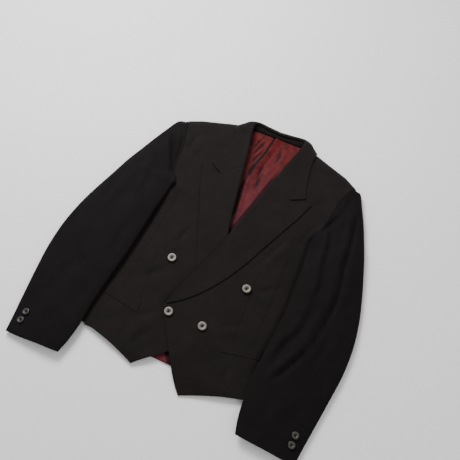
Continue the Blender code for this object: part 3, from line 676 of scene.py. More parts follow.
@dataclass
class BodyForm:
    """Heights of the body's layers, which the pieces that lie on them share."""

    side_roll: float = 0.055
    shoulder_roll: float = 0.022
    press: float = 0.45
    press_from: float = 0.125
    press_length: float = 0.050
    press_top: float = 0.175
    press_fade: float = 0.090
    overlap_lift: float = 0.0050
    overlap_ramp: float = 0.075
    overlap_margin: float = 0.004
    point_drop: float = 0.045
    point_rest: float = 0.0025
    hem_bow: float = 0.0085
    # At the side and shoulder seams a front lies this close to the back, whose turning goes under it
    seam_seat: float = 0.0001
    turning: float = 0.0018
    shift_rows: float = 2.5

    # Depth of the dip of each front beside its sleeve
    sleeve_dip = {Side.LEFT: 0.0030, Side.RIGHT: 0.0015}

    # Each front's point lies a little off the table's place
    point_shift = {Side.LEFT: (-0.004, -0.011), Side.RIGHT: (0.0045, 0.007)}

    # Creases of the fronts: out and y, depth, half width, bank
    creases = {
        Side.LEFT: (
            Crease(((0.086, 0.050), (0.100, 0.095), (0.121, 0.146)), 0.0016, 0.0060, -0.8),
            Crease(((0.094, 0.004), (0.122, 0.012), (0.158, 0.046)), 0.0013, 0.0075, 0.7),
            Crease(((0.096, -0.006), (0.128, -0.020), (0.164, -0.018)), 0.0011, 0.0080, 0.7),
            Crease(((0.046, -0.116), (0.078, -0.146), (0.120, -0.170)), 0.0013, 0.0080, 0.7),
            Crease(((0.052, -0.100), (0.088, -0.084), (0.126, -0.060)), 0.0011, 0.0075, -0.7),
            Crease(((0.030, -0.150), (0.052, -0.176), (0.060, -0.212)), 0.0014, 0.0085, 0.8),
            Crease(((0.120, -0.150), (0.118, -0.180), (0.124, -0.206)), 0.0014, 0.0080, 0.7),
            Crease(((0.142, 0.120), (0.150, 0.160), (0.164, 0.200)), 0.0018, 0.0080, -0.6),
            Crease(((0.130, 0.215), (0.150, 0.245), (0.172, 0.262)), 0.0013, 0.0085, 0.6),
        ),
        Side.RIGHT: (
            Crease(((0.080, 0.090), (0.087, 0.057), (0.094, 0.024)), 0.0016, 0.0060, 0.8),
            Crease(((0.094, -0.006), (0.112, 0.034), (0.138, 0.082)), 0.0016, 0.0085, 0.7),
            Crease(((0.078, -0.006), (0.100, -0.040), (0.132, -0.066)), 0.0013, 0.0080, 0.7),
            Crease(((0.046, -0.108), (0.078, -0.130), (0.112, -0.158)), 0.0013, 0.0080, -0.7),
            Crease(((0.054, -0.104), (0.082, -0.080), (0.110, -0.048)), 0.0011, 0.0080, 0.7),
            Crease(((0.040, -0.142), (0.066, -0.176), (0.078, -0.214)), 0.0015, 0.0085, 0.8),
            Crease(((0.130, -0.140), (0.140, -0.172), (0.142, -0.198)), 0.0013, 0.0085, -0.7),
            Crease(((0.118, 0.085), (0.140, 0.130), (0.164, 0.158)), 0.0018, 0.0085, -0.6),
            Crease(((0.170, 0.236), (0.171, 0.272), (0.165, 0.312)), 0.0034, 0.0085, 0.4),
            Crease(((0.105, -0.168), (0.105, -0.190), (0.104, -0.220)), 0.0016, 0.0060, 0.6),
            Crease(((0.126, 0.222), (0.150, 0.246), (0.174, 0.258)), 0.0014, 0.0090, 0.6),
        ),
    }
    # Darts and the side seams of the fronts, sewn lines in out and y, which are grooved and darkened; on the right
    # front one of them is a painted shadow beside the lapel's edge
    darts = {
        Side.LEFT: (
            ((0.0925, 0.062), (0.0965, 0.021), (0.101, -0.042), (0.105, -0.109)),
            ((0.1335, 0.150), (0.1390, 0.080), (0.1430, 0.000), (0.1440, -0.070), (0.1460, -0.106)),
        ),
        Side.RIGHT: (
            ((0.118, -0.002), (0.1125, -0.050), (0.105, -0.107)),
            # Beside the outer edge of the lapel, where its edge is pressed into the front: a shallow groove with a
            # painted shadow line along it
            ((0.0509, 0.0476), (0.0729, 0.1016), (0.0939, 0.1516), (0.1124, 0.1956), (0.1249, 0.2336)),
            ((0.108, -0.163), (0.112, -0.184), (0.118, -0.206)),
            ((0.1400, 0.148), (0.1440, 0.080), (0.1470, 0.000), (0.1480, -0.070), (0.1490, -0.104)),
        ),
    }

    def loft(self, y: Values) -> Values:
        """Height of the hollow between back and front."""
        return looked_up(LOFTS, y)

    def pressed(self, out: Values, y: Values) -> Values:
        """Share of the hollow's height that is left where a sleeve lies on the side."""
        below = smooth((self.press_top - y) / self.press_fade)
        return 1.0 - self.press * smooth((out - self.press_from) / self.press_length) * below

    def shoulder_y(self, out: Values, side: Side) -> Values:
        """Where the shoulder seam runs."""
        return looked_up(SHOULDER_LINE, out) + looked_up(SHOULDER_RISE[side], out)

    def side_out(self, y: Values) -> Values:
        """Distance of the side from the centre line."""
        return looked_up(SIDE_LINE, y)

    def back_under(self, out: Values, y: Values) -> Values:
        """Height of the back's underside, over the folded tails and the fall of the collar."""
        over_collar = 0.0028 * smooth((0.097 + 0.040 - out) / 0.040)
        past_tails = smooth((y - (FOLD_Y + TAIL_LENGTH + 0.004)) / 0.055)
        return mix(TAIL_WALL + GAP, over_collar, past_tails)

    def front_form(self, x: Values, y: Values, side: Side) -> Values:
        """Height of a front's underside without its creases. The left front rides over the right one."""
        out = np.abs(x)
        full = rolled(self.side_out(y) - out, self.side_roll)
        full = full * rolled(self.shoulder_y(out, side) - y, self.shoulder_roll)
        risen = TAIL_WALL + GAP + self.loft(y) * self.pressed(out, y)
        height = BACK_WALL + mix(self.back_under(out, y) + self.seam_seat, risen + SEAT, full)
        height = mix(height, self.point_rest, smooth((FOLD_Y - 0.006 - y) / self.point_drop))
        if side is Side.LEFT:
            under_edge = -looked_up(EDGE_LINE, y)
            reach = (under_edge + self.overlap_margin + self.overlap_ramp - x) / self.overlap_ramp
            height = height + self.overlap_lift * smooth(reach)
        return height

    def front_relief(self, x: Values, y: Values, side: Side) -> Values:
        """Height that creases, darts and swells add to a front, none of it where something lies close."""
        out = np.abs(x)
        raised = relief(self.creases[side], side.value * x, y)
        raised = raised + ripple(x, y, 0.034, 0.00045, 1.0 + side.value)
        raised = raised - 0.0004 * seam_share(self.darts[side], side.value * x, y, 0.0028)
        inside = np.array([(row[1], row[0]) for row in reversed(SleeveForm.inner_edge(side))])
        arm = np.interp(y, inside[:, 0], inside[:, 1])
        clear_of_sleeve = np.where(y < 0.157, smooth((arm - out - 0.002) / 0.014), smooth((0.196 - out) / 0.020))
        beside_sleeve = self.sleeve_dip[side] * np.exp(-(((out - arm + 0.002) / 0.0065) ** 2))
        beside_sleeve = beside_sleeve * smooth((0.175 - y) / 0.030) * smooth((y + 0.175) / 0.040)
        from_edge = side.value * x - looked_up(EDGE_LINE, y)
        clear_of_edge = smooth((from_edge - 0.004) / 0.018)
        under_edge = side.value * x + looked_up(EDGE_LINE, y) - 0.006
        clear_of_lap = smooth(under_edge / 0.022)
        for spot in (UPPER_BUTTON, LOWER_BUTTON):
            away = np.hypot(out - spot[0], y - spot[1])
            raised = raised * smooth((away - 0.011) / 0.014)
        shoulder = smooth((self.shoulder_y(out, side) - y) / 0.020)
        return raised * clear_of_sleeve * clear_of_edge * clear_of_lap * shoulder - beside_sleeve

    def front_under(self, x: Values, y: Values, side: Side) -> Values:
        """Height of a front's underside."""
        return self.front_form(x, y, side) + self.front_relief(x, y, side)

    def on_front(self, x: Values, y: Values, side: Side) -> Values:
        """Height of what lies on a front."""
        return self.front_under(x, y, side) + FRONT_WALL + SEAT

    def front_place(self, side: Side, u: Values, row: Values) -> tuple[Values, Values]:
        """Plan place on a front.

        Args:
            side: the front's side.
            u: share from its inner to its outer edge.
            row: place along the table of sections.

        Returns:
            x and y.
        """
        section = through(FRONT_SECTIONS, row)
        at_point = smooth(1.0 - row / self.shift_rows)
        out = mix(section[..., 0], section[..., 2], u) + self.point_shift[side][0] * at_point * (1.0 - u)
        y = mix(section[..., 1], section[..., 3], u) + self.point_shift[side][1] * at_point * (1.0 - u)
        y = y + self.hem_bow * np.sin(np.pi * np.clip(u, 0.0, 1.0)).clip(0.0) ** 0.8 * at_point
        top = FRONT_SECTIONS[-1]
        to_shoulder = self.shoulder_y(out, side) - mix(top[1], top[3], u)
        return side.value * out, y + to_shoulder * smooth(row - len(FRONT_SECTIONS) + 2)


@dataclass
class Tails:
    """The skirts of the tails, folded under the back: wool, its turned border, and the lining between."""

    form: BodyForm
    vent_gap: float = 0.0012
    cloth_wall: float = 0.0012
    border_wall: float = 0.0007
    lining_wall: float = 0.0006
    border: float = 0.032
    # Outer edge by how far along the tail: along, out
    outline = ((0.00, 0.186), (0.25, 0.176), (0.50, 0.158), (0.75, 0.140), (1.00, 0.124))

    def layer(self, side: Side, height: float, inset: float, sway: float) -> PlaceRule:
        """The surface of one layer of a tail.

        Args:
            side: the tail's side.
            height: its height over the floor.
            inset: how far it stays inside the tail's edges.
            sway: height of its swells.

        Returns:
            The rule that gives its places.
        """

        def place(u: Values, v: Values) -> Values:
            along = mix(0.0, 1.0 - inset / TAIL_LENGTH, v)
            outer = looked_up(self.outline, along) - inset
            out = mix(self.vent_gap / 2 + inset, outer, u)
            y = FOLD_Y + TAIL_LENGTH * along
            swell = np.abs(ripple(out, y, 0.05, sway, side.value))
            return joined(side.value * out, y, height + swell)

        return place

    def build(self, room: Workroom) -> None:
        """Makes both tails."""
        for side in Side:
            node = f"tail_{side.label}"
            right = side is Side.RIGHT
            cloth_z = TAIL_WALL - self.cloth_wall - 0.0002
            ClothPiece(
                node + "_cloth", self.layer(side, cloth_z, 0.0, 0.0), 40, 90, self.cloth_wall, [node],
                ["tail_" + side.label + "_border"], Held.FOLDED, inside_out=right,
            ).make(room)
            border_u, border_v = self.border / 0.150, self.border / TAIL_LENGTH
            ClothPiece(
                node + "_border", self.layer(side, 0.0008, 0.0, 0.0), 40, 90, self.border_wall, [node],
                [node + "_lining"], Held.FOLDED, inside_out=right,
                keep=lambda u, v: (np.minimum(u, 1.0 - u) < border_u) | (v > 1.0 - border_v),
            ).make(room)
            ClothPiece(
                node + "_lining", self.layer(side, 0.0, self.border - 0.007, 0.0), 40, 90,
                self.lining_wall, [node], [], Held.FOLDED, Slot.LINING, inside_out=right, material=room.satin,
            ).make(room)


@dataclass
class Back:
    """The two halves of the back, and the lining inside them with its ease pleat."""

    form: BodyForm
    # Half the width of the lining: y, half width
    lining_widths = ((FOLD_Y, 0.120), (0.200, 0.110), (0.345, 0.080), (NECK_Y, 0.061))
    # The lining going round the fold: how far past it, and its height
    hem_turns = ((0.0026, 0.0012), (0.0027, 0.0028), (0.0023, 0.0042), (0.0012, 0.0050))
    turn_share: float = 0.022
    # The crest of the pleat: y, x
    pleat_line = (
        (-0.20, -0.032), (0.22, -0.0245), (0.256, -0.0200), (0.287, -0.0168), (0.329, -0.0082), (0.372, -0.0040),
    )
    pleat_height: float = 0.0042
    pleat_edge: float = 0.0022
    lapel_shade: float = 0.0170
    wrinkles = (
        Crease(((-0.044, 0.318), (-0.039, 0.343), (-0.030, 0.368)), 0.0017, 0.0025, 0.8),
        Crease(((-0.050, 0.322), (-0.047, 0.342), (-0.040, 0.366)), 0.0014, 0.0022, 0.8),
        Crease(((-0.039, 0.300), (-0.031, 0.332), (-0.020, 0.364)), 0.0019, 0.0026, 0.8),
        Crease(((-0.035, 0.280), (-0.027, 0.308), (-0.015, 0.340)), 0.0016, 0.0024, 0.8),
        Crease(((-0.024, 0.300), (-0.025, 0.276), (-0.026, 0.250)), 0.0022, 0.0034, 0.4),
        Crease(((-0.029, 0.262), (-0.023, 0.214), (-0.016, 0.176), (-0.010, 0.136)), 0.0022, 0.0036, 0.6),
        Crease(((-0.007, 0.306), (-0.005, 0.273), (-0.006, 0.244)), 0.0012, 0.0036, -0.6),
        Crease(((0.003, 0.278), (0.001, 0.248), (0.003, 0.218)), 0.0012, 0.0052, -0.5),
        Crease(((0.040, 0.280), (0.031, 0.220), (0.018, 0.160)), 0.0014, 0.0060, 0.6),
        Crease(((0.048, 0.340), (0.044, 0.310), (0.046, 0.280)), 0.0008, 0.0045, 0.6),
        Crease(((0.014, 0.366), (0.020, 0.330), (0.018, 0.300)), 0.0008, 0.0048, 0.6),
        Crease(((-0.010, 0.140), (-0.014, 0.060), (-0.020, -0.020)), 0.0011, 0.0060, 0.6),
        Crease(((0.020, 0.120), (0.032, 0.050), (0.028, -0.040)), 0.0011, 0.0070, -0.6),
        Crease(((0.060, 0.090), (0.058, 0.000), (0.070, -0.090)), 0.0011, 0.0070, 0.6),
        Crease(((-0.060, 0.100), (-0.066, 0.010), (-0.058, -0.080)), 0.0011, 0.0070, 0.6),
        Crease(((-0.052, -0.186), (-0.040, -0.150), (-0.036, -0.110)), 0.0010, 0.0050, 0.7),
        Crease(((0.000, -0.190), (0.006, -0.160), (0.002, -0.120)), 0.0010, 0.0050, -0.7),
    )

    def lining_height(self, x: Values, y: Values) -> Values:
        """Height of the lining over the cloth of the back, from its pleat and wrinkles."""
        crest = looked_up(self.pleat_line, y)
        fade = smooth((y - 0.205) / 0.090)
        left = smooth((x - crest) / self.pleat_edge + 1.0)
        right = smooth(1.0 - (x - crest) / 0.0150)
        pleat = self.pleat_height * fade * np.where(x < crest, left, right)
        away = smooth((self.half_width(y) - np.abs(x)) / 0.010) * smooth((y - FOLD_Y) / 0.012)
        soft = relief(self.wrinkles, x, y) + ripple(x, y, 0.016, 0.00035, 2.0)
        return pleat + np.maximum(soft, -0.0002) * away * smooth((NECK_Y + 0.004 - y) / 0.012)

    def lining_painted_shade(self, x: Values, y: Values) -> Values:
        """Painted shade on the lining, 1 at the foot of the pleat: a painted shadow along the pleat, painted shade in
        the troughs of the wrinkles, and a painted shadow of the left lapel.
        """
        # Painted shadow along the foot of the pleat
        foot = looked_up(self.pleat_line, y) - self.pleat_edge - 0.0020
        reach = mix(0.0034, 0.0052, smooth((0.335 - y) / 0.050))
        beside = np.exp(-(((x - foot) / reach) ** 2)) * smooth((y - 0.244) / 0.022)
        # Painted shade in the troughs of the wrinkles
        sunk = np.clip(-relief(self.wrinkles, x, y) / 0.0011, 0.0, 1.0)
        # Painted shadow of the left lapel, which stands over the lining here
        painted_lapel_shadow = smooth((x - looked_up(EDGE_LINE, y) + self.lapel_shade) / 0.004)
        painted_lapel_shadow = painted_lapel_shadow * smooth((0.31 - y) / 0.06)
        return np.maximum(np.maximum(beside, 0.85 * sunk), 0.85 * painted_lapel_shadow)

    def half_width(self, y: Values) -> Values:
        """Half the width of the lining."""
        return looked_up(self.lining_widths, y)

    def lining_place(self, u: Values, v: Values) -> Values:
        """The surface of the lining, round the fold and up to the neck."""
        turned = np.clip(v / self.turn_share, 0.0, 1.0) * len(self.hem_turns)
        # The grid is finer in the middle and towards the neck, where the lining shows
        upward = np.clip((v - self.turn_share) / (1.0 - self.turn_share), 0.0, 1.0)
        y = mix(FOLD_Y, NECK_Y, upward * (1.35 - 0.35 * upward))
        across = 2.0 * u - 1.0
        x = across * (0.5 + 0.5 * across**2) * self.half_width(y)
        flat = self.form.back_under(np.abs(x), y) + BACK_WALL + SEAT
        turns = through(self.hem_turns + ((0.0, float(TAIL_WALL + GAP + BACK_WALL + SEAT)),), turned)
        in_turn = v < self.turn_share
        height = np.where(in_turn, turns[..., 1], flat + self.lining_height(x, y))
        return joined(x, np.where(in_turn, FOLD_Y - turns[..., 0], y), height)

    def back_place(self, side: Side) -> PlaceRule:
        """The surface of half of the back."""

        def place(u: Values, v: Values) -> Values:
            row = v * (len(BACK_SECTIONS) - 1)
            section = through(BACK_SECTIONS, row)
            out = mix(GAP / 2, section[..., 1], u)
            y = mix(section[..., 0], section[..., 2], u)
            top = mix(BACK_SECTIONS[-1][0], BACK_SECTIONS[-1][2], u)
            to_seam = self.form.shoulder_y(out, side) + self.form.turning - top
            y = y + to_seam * smooth(row - len(BACK_SECTIONS) + 2)
            return joined(side.value * out, y, self.form.back_under(out, y))

        return place

    def build(self, room: Workroom) -> None:
        """Makes the back and its lining."""
        # Side body seams of the back, which curve from the armhole to the waist
        lines = (((0.176, 0.205), (0.140, 0.150), (0.110, 0.080), (0.085, 0.000), (0.075, -0.080), (0.075, -0.190)),)
        for side in Side:
            node = f"back_{side.label}"
            ClothPiece(
                node + "_cloth", self.back_place(side), 60, 150, BACK_WALL, [node],
                [f"tail_{side.label}_cloth"], inside_out=side is Side.RIGHT,
                seams=lambda x, y: seam_share(lines, np.abs(x), y, 0.0030),
            ).make(room)
        ClothPiece(
            "back_lining_satin", self.lining_place, 150, 300, LINING_WALL, ["back_lining"],
            ["back_left_cloth", "back_right_cloth"], Held.LAID, Slot.LINING, round_edge=0.0,
            seams=self.lining_painted_shade, flat_map=True, material=room.satin,
        ).make(room)


@dataclass
class Fronts:
    """The two fronts, lapped and buttoned, with their darts and pocket welts."""

    form: BodyForm
    welt_inner = {Side.RIGHT: (0.0975, -0.1130), Side.LEFT: (0.0925, -0.1170)}
    welt_outer = {Side.RIGHT: (0.1800, -0.1000), Side.LEFT: (0.1680, -0.1000)}
    welt_height: float = 0.0240
    welt_wall: float = 0.0007
    welt_seat: float = 0.0002

    def front_surface(self, side: Side) -> PlaceRule:
        """The surface of a front."""

        def place(u: Values, v: Values) -> Values:
            x, y = self.form.front_place(side, u, v * (len(FRONT_SECTIONS) - 1))
            return joined(x, y, self.form.front_under(x, y, side))

        return place

    def welt_surface(self, side: Side) -> PlaceRule:
        """The surface of a pocket welt."""

        def place(u: Values, v: Values) -> Values:
            out, y = (mix(a, b, u) for a, b in zip(self.welt_inner[side], self.welt_outer[side]))
            y = y - self.welt_height * (1.0 - v)
            under = self.form.front_under(side.value * out, y, side) + FRONT_WALL
            return joined(side.value * out, y, under + self.welt_seat)

        return place

    def build(self, room: Workroom) -> None:
        """Makes the fronts and their welts."""
        for side in Side:
            front = f"front_{side.label}"
            darts = self.form.darts[side]
            ClothPiece(
                front + "_cloth", self.front_surface(side), 112, 270, FRONT_WALL, [front],
                [f"back_{side.label}_cloth", "back_lining_satin"], Held.DRAPED, inside_out=side is Side.RIGHT,
                seams=lambda x, y, s=side, d=darts: seam_share(d, s.value * x, y, 0.0022),
            ).make(room)
            welt = f"pocket_welt_{side.label}"
            ClothPiece(
                welt + "_cloth", self.welt_surface(side), 44, 14, self.welt_wall, [welt], [front + "_cloth"],
                inside_out=side is Side.RIGHT,
            ).make(room)


@dataclass
class Lapels:
    """The turned lapels, from their peaks down to the lower button."""

    form: BodyForm
    roll_rows: Place = (4.15, 14.10)
    clear: float = 0.0002
    bulge: float = 0.0022
    notch: Place = (0.0850, 0.2257)
    notch_rows: float = 0.30
    curl_share: float = 0.08
    curl_out: float = 0.0013
    gorge_tuck: float = 0.0014
    gorge_drop: float = 0.0007
    curl_drop: float = 0.0016
    spread = {Side.LEFT: 0.0, Side.RIGHT: -0.010}
    # Outer edge from where the lapel starts up to its peak: out, y
    edge = (
        (-0.0500, -0.0960), (-0.0260, -0.0780), (0.0040, -0.0470), (0.0360, -0.0010), (0.0600, 0.0480),
        (0.0820, 0.1020), (0.1030, 0.1520), (0.1215, 0.1960), (0.1340, 0.2340),
    )
    # Ridges and troughs along the roll: out and y
    creases = {
        Side.LEFT: (
            Crease(((-0.018, 0.026), (-0.008, 0.066), (0.004, 0.108)), -0.0007, 0.0050, 0.4),
            Crease(((0.050, 0.150), (0.066, 0.190), (0.084, 0.212)), -0.0006, 0.0085, 0.4),
            Crease(((0.024, 0.040), (0.044, 0.084), (0.060, 0.134)), -0.0005, 0.0080, 0.4),
        ),
        Side.RIGHT: (
            Crease(((0.044, 0.222), (0.036, 0.180), (0.037, 0.116)), -0.0006, 0.0070, 0.5),
            Crease(((0.052, 0.100), (0.066, 0.140), (0.086, 0.186)), -0.0006, 0.0085, 0.4),
        ),
    }

    def surface(self, side: Side) -> PlaceRule:
        """The surface of a lapel, which curls round its front's edge at the roll line."""

        def place(u: Values, v: Values) -> Values:
            share = np.clip((u - self.curl_share) / (1.0 - self.curl_share), 0.0, 1.0)
            curl = np.clip(1.0 - u / self.curl_share, 0.0, 1.0) * math.pi / 2
            roll = through(FRONT_SECTIONS, mix(*self.roll_rows, v))[..., :2]
            edge = through(self.edge, v * (len(self.edge) - 1))
            edge[..., 0] += self.spread[side] * smooth(v * 4)
            out = mix(roll[..., 0], edge[..., 0], share)
            y = mix(roll[..., 1], edge[..., 1], share)
            notch_out = self.notch[0] + self.spread[side] * 2 / 3
            notch = (notch_out - roll[..., 0]) / (edge[..., 0] - roll[..., 0])
            notch = np.where(v > 0.5, np.clip(notch, 0.05, 0.95), 0.5)
            hat = 1.0 - np.abs(share - notch) / np.where(share < notch, notch, 1.0 - notch)
            dip = mix(roll[..., 1], edge[..., 1], notch) - self.notch[1]
            y = y - np.maximum(hat, 0.0) * dip * smooth((v - 1.0) / self.notch_rows + 1.0)
            # The gorge goes a little way under the collar
            tucked = smooth((v - 0.985) / 0.015) * smooth((notch - share) / 0.06)
            y = y + self.gorge_tuck * tucked
            x = side.value * out
            bulge = self.bulge * (1.0 - share) ** 2 * smooth((roll[..., 1] - 0.11) / 0.09)
            raised = relief(self.creases[side], out, y).clip(0.0) + np.abs(ripple(x, y, 0.03, 0.00025, 3.0))
            soft = smooth(share / 0.12) * smooth((1.0 - share) / 0.15)
            z = self.form.on_front(x, y, side) + self.clear + bulge + raised * soft - self.gorge_drop * tucked
            x = x - side.value * self.curl_out * np.sin(curl)
            z = z - self.curl_drop * (1.0 - np.cos(curl)) - bulge * (1.0 - np.cos(curl))
            return joined(x, y, z)

        return place

    def roll_painted_shade(self, side: Side) -> PlaceRule:
        """Painted shade along the roll below the neck opening, which darkens the light line that its rounded edge
        catches.
        """

        def share(x: Values, y: Values) -> Values:
            from_roll = side.value * x - looked_up(EDGE_LINE, y)
            return 2.5 * smooth(1.0 - from_roll / 0.0040) * smooth((0.100 - y) / 0.020)

        return share

    def build(self, room: Workroom) -> None:
        """Makes both lapels."""
        for side in Side:
            node = f"lapel_{side.label}"
            ClothPiece(
                node + "_cloth", self.surface(side), 56, 160, LAPEL_WALL, [node],
                [f"front_{side.label}_cloth"], Held.FOLDED, inside_out=side is Side.RIGHT,
                seams=self.roll_painted_shade(side),
            ).make(room)


@dataclass
class Collar:
    """The collar's fall, round the neck from gorge to gorge, and the stand inside it."""

    form: BodyForm
    lapels: Lapels
    stand_half: float = 0.0640
    stand_foot: Place = (0.3730, 0.0062)
    top_below: float = 0.0022
    top_inside: float = 0.0016
    # Beside the neck the fold is tucked further in and down: station, reach in stations, in, down
    tuck: tuple = (4.7, 0.9, 0.0012, 0.0036)
    # Nose, mid, low and edge of each station, from the gorge to the middle of the back: out, y, z each
    stations = (
        (0.0398, 0.2625, 0.025, 0.0624, 0.2444, 0.025, 0.085, 0.2262, 0.025, 0.118, 0.243, 0.025),
        (0.0459, 0.292, 0.025, 0.065, 0.28, 0.025, 0.087, 0.268, 0.025, 0.111, 0.264, 0.025),
        (0.0527, 0.322, 0.025, 0.068, 0.314, 0.025, 0.085, 0.305, 0.025, 0.103, 0.296, 0.025),
        (0.059, 0.347, 0.025, 0.072, 0.341, 0.025, 0.085, 0.335, 0.024, 0.098, 0.327, 0.024),
        (0.063, 0.364, 0.0245, 0.0755, 0.36, 0.0243, 0.087, 0.356, 0.0236, 0.0975, 0.349, 0.0233),
        (0.0645, 0.3755, 0.0225, 0.076, 0.3765, 0.0205, 0.086, 0.3725, 0.0155, 0.095, 0.3685, 0.01),
        (0.0615, 0.3835, 0.0195, 0.0725, 0.3865, 0.013, 0.078, 0.383, 0.005, 0.08, 0.376, 0.0026),
        (0.049, 0.387, 0.0165, 0.055, 0.393, 0.0095, 0.0565, 0.389, 0.003, 0.0575, 0.362, 0.0022),
        (0.026, 0.3845, 0.0145, 0.028, 0.391, 0.0085, 0.0285, 0.3865, 0.0027, 0.029, 0.357, 0.0022),
        (0, 0.3825, 0.014, 0, 0.389, 0.008, 0, 0.385, 0.0026, 0, 0.355, 0.0022),
    )

    def fall_point(self, sign: Values, station: Values, part: Values) -> Values:
        """Places on the fall.

        Args:
            sign: 1 on the wearer's left, -1 on the right.
            station: place from the gorge, 0, to the back of the neck.
            part: place from the nose, 0, to the edge, 3.

        Returns:
            The places, one a row.
        """
        rows = through(self.stations, station).reshape(*np.shape(station), 4, 3)
        along = np.minimum(part.astype(int), 2)
        pick = np.arange(len(part))
        first, second = rows[pick, along], rows[pick, along + 1]
        before = rows[pick, np.maximum(along - 1, 0)]
        after = rows[pick, np.minimum(along + 2, 3)]
        before = np.where((along == 0)[:, None], 2 * first - second, before)
        after = np.where((along == 2)[:, None], 2 * second - first, after)
        t = (part - along)[:, None]
        bend, twist = 2 * before - 5 * first + 4 * second - after, 3 * first - before - 3 * second + after
        bent = 0.5 * (2 * first + (second - before) * t + bend * t**2 + twist * t**3)
        point = mix(mix(first, second, t), bent, smooth(station)[:, None])
        on_chest = smooth(4.0 - station)
        spread = np.where(sign > 0, self.lapels.spread[Side.LEFT], self.lapels.spread[Side.RIGHT])
        out = point[:, 0] + spread * on_chest * part / 3.0
        x, y = sign * out, point[:, 1]
        lying = np.where(sign > 0, self.form.on_front(x, y, Side.LEFT), self.form.on_front(x, y, Side.RIGHT))
        lying = lying + self.lapels.clear + self.lapels.bulge * np.maximum(1.0 - part / 3.0, 0.0) ** 2
        return joined(x, y, mix(point[:, 2], lying, on_chest))

    def fall_place(self, u: Values, v: Values) -> Values:
        """The surface of the fall, u from its fold to its edge and v from gorge to gorge."""
        curl_share = 2.0 / 11.0 * 0.35
        part = np.clip((u - curl_share) / (1.0 - curl_share), 0.0, 1.0) * 3.0
        curl = np.clip(1.0 - u / curl_share, 0.0, 1.0) * math.pi / 2
        sign = np.where(v <= 0.5, 1.0, -1.0)
        last = len(self.stations) - 1
        station = last * (1.0 - np.abs(2.0 * v - 1.0))
        point = self.fall_point(sign, station, part)
        nose = np.zeros(len(u))
        ahead = self.fall_point(sign, np.minimum(station + 0.1, last), nose)
        ahead = ahead - self.fall_point(sign, np.maximum(station - 0.1, 0.0), nose)
        inward = np.stack([-sign * np.abs(ahead[:, 1]), -np.abs(ahead[:, 0])], axis=1)
        inward /= np.linalg.norm(inward, axis=1, keepdims=True)
        middle, reach, tuck_in, tuck_down = self.tuck
        tucked = np.exp(-(((station - middle) / reach) ** 2))
        point[:, :2] += inward * ((self.lapels.curl_out + tuck_in * tucked) * np.sin(curl))[:, None]
        point[:, 2] -= (self.lapels.curl_drop + tuck_down * tucked) * (1.0 - np.cos(curl))
        return point

    def stand_place(self, u: Values, v: Values) -> Values:
        """The surface of the stand, from the neck seam up to the fold."""
        x = mix(-self.stand_half, self.stand_half, u)
        rows = np.array([(row[0], row[1], row[2]) for row in reversed(self.stations) if row[1] > 0.375])
        top_y = np.interp(np.abs(x), rows[:, 0], rows[:, 1]) - self.top_inside
        top_z = np.interp(np.abs(x), rows[:, 0], rows[:, 2]) - self.top_below
        roll = 0.0012 * np.sin(np.pi * v)
        return joined(x, mix(self.stand_foot[0], top_y, v) - roll, mix(self.stand_foot[1], top_z, v))

    def build(self, room: Workroom) -> None:
        """Makes the fall and the stand."""
        ClothPiece(
            "collar_fall", self.fall_place, 44, 220, COLLAR_WALL, ["collar"],
            ["front_left_cloth", "front_right_cloth"], Held.FOLDED,
        ).make(room)
        ClothPiece(
            "collar_stand_cloth", self.stand_place, 90, 14, STAND_WALL, ["collar_stand"],
            ["back_lining_satin"], Held.FOLDED, wall_inside=True,
        ).make(room)


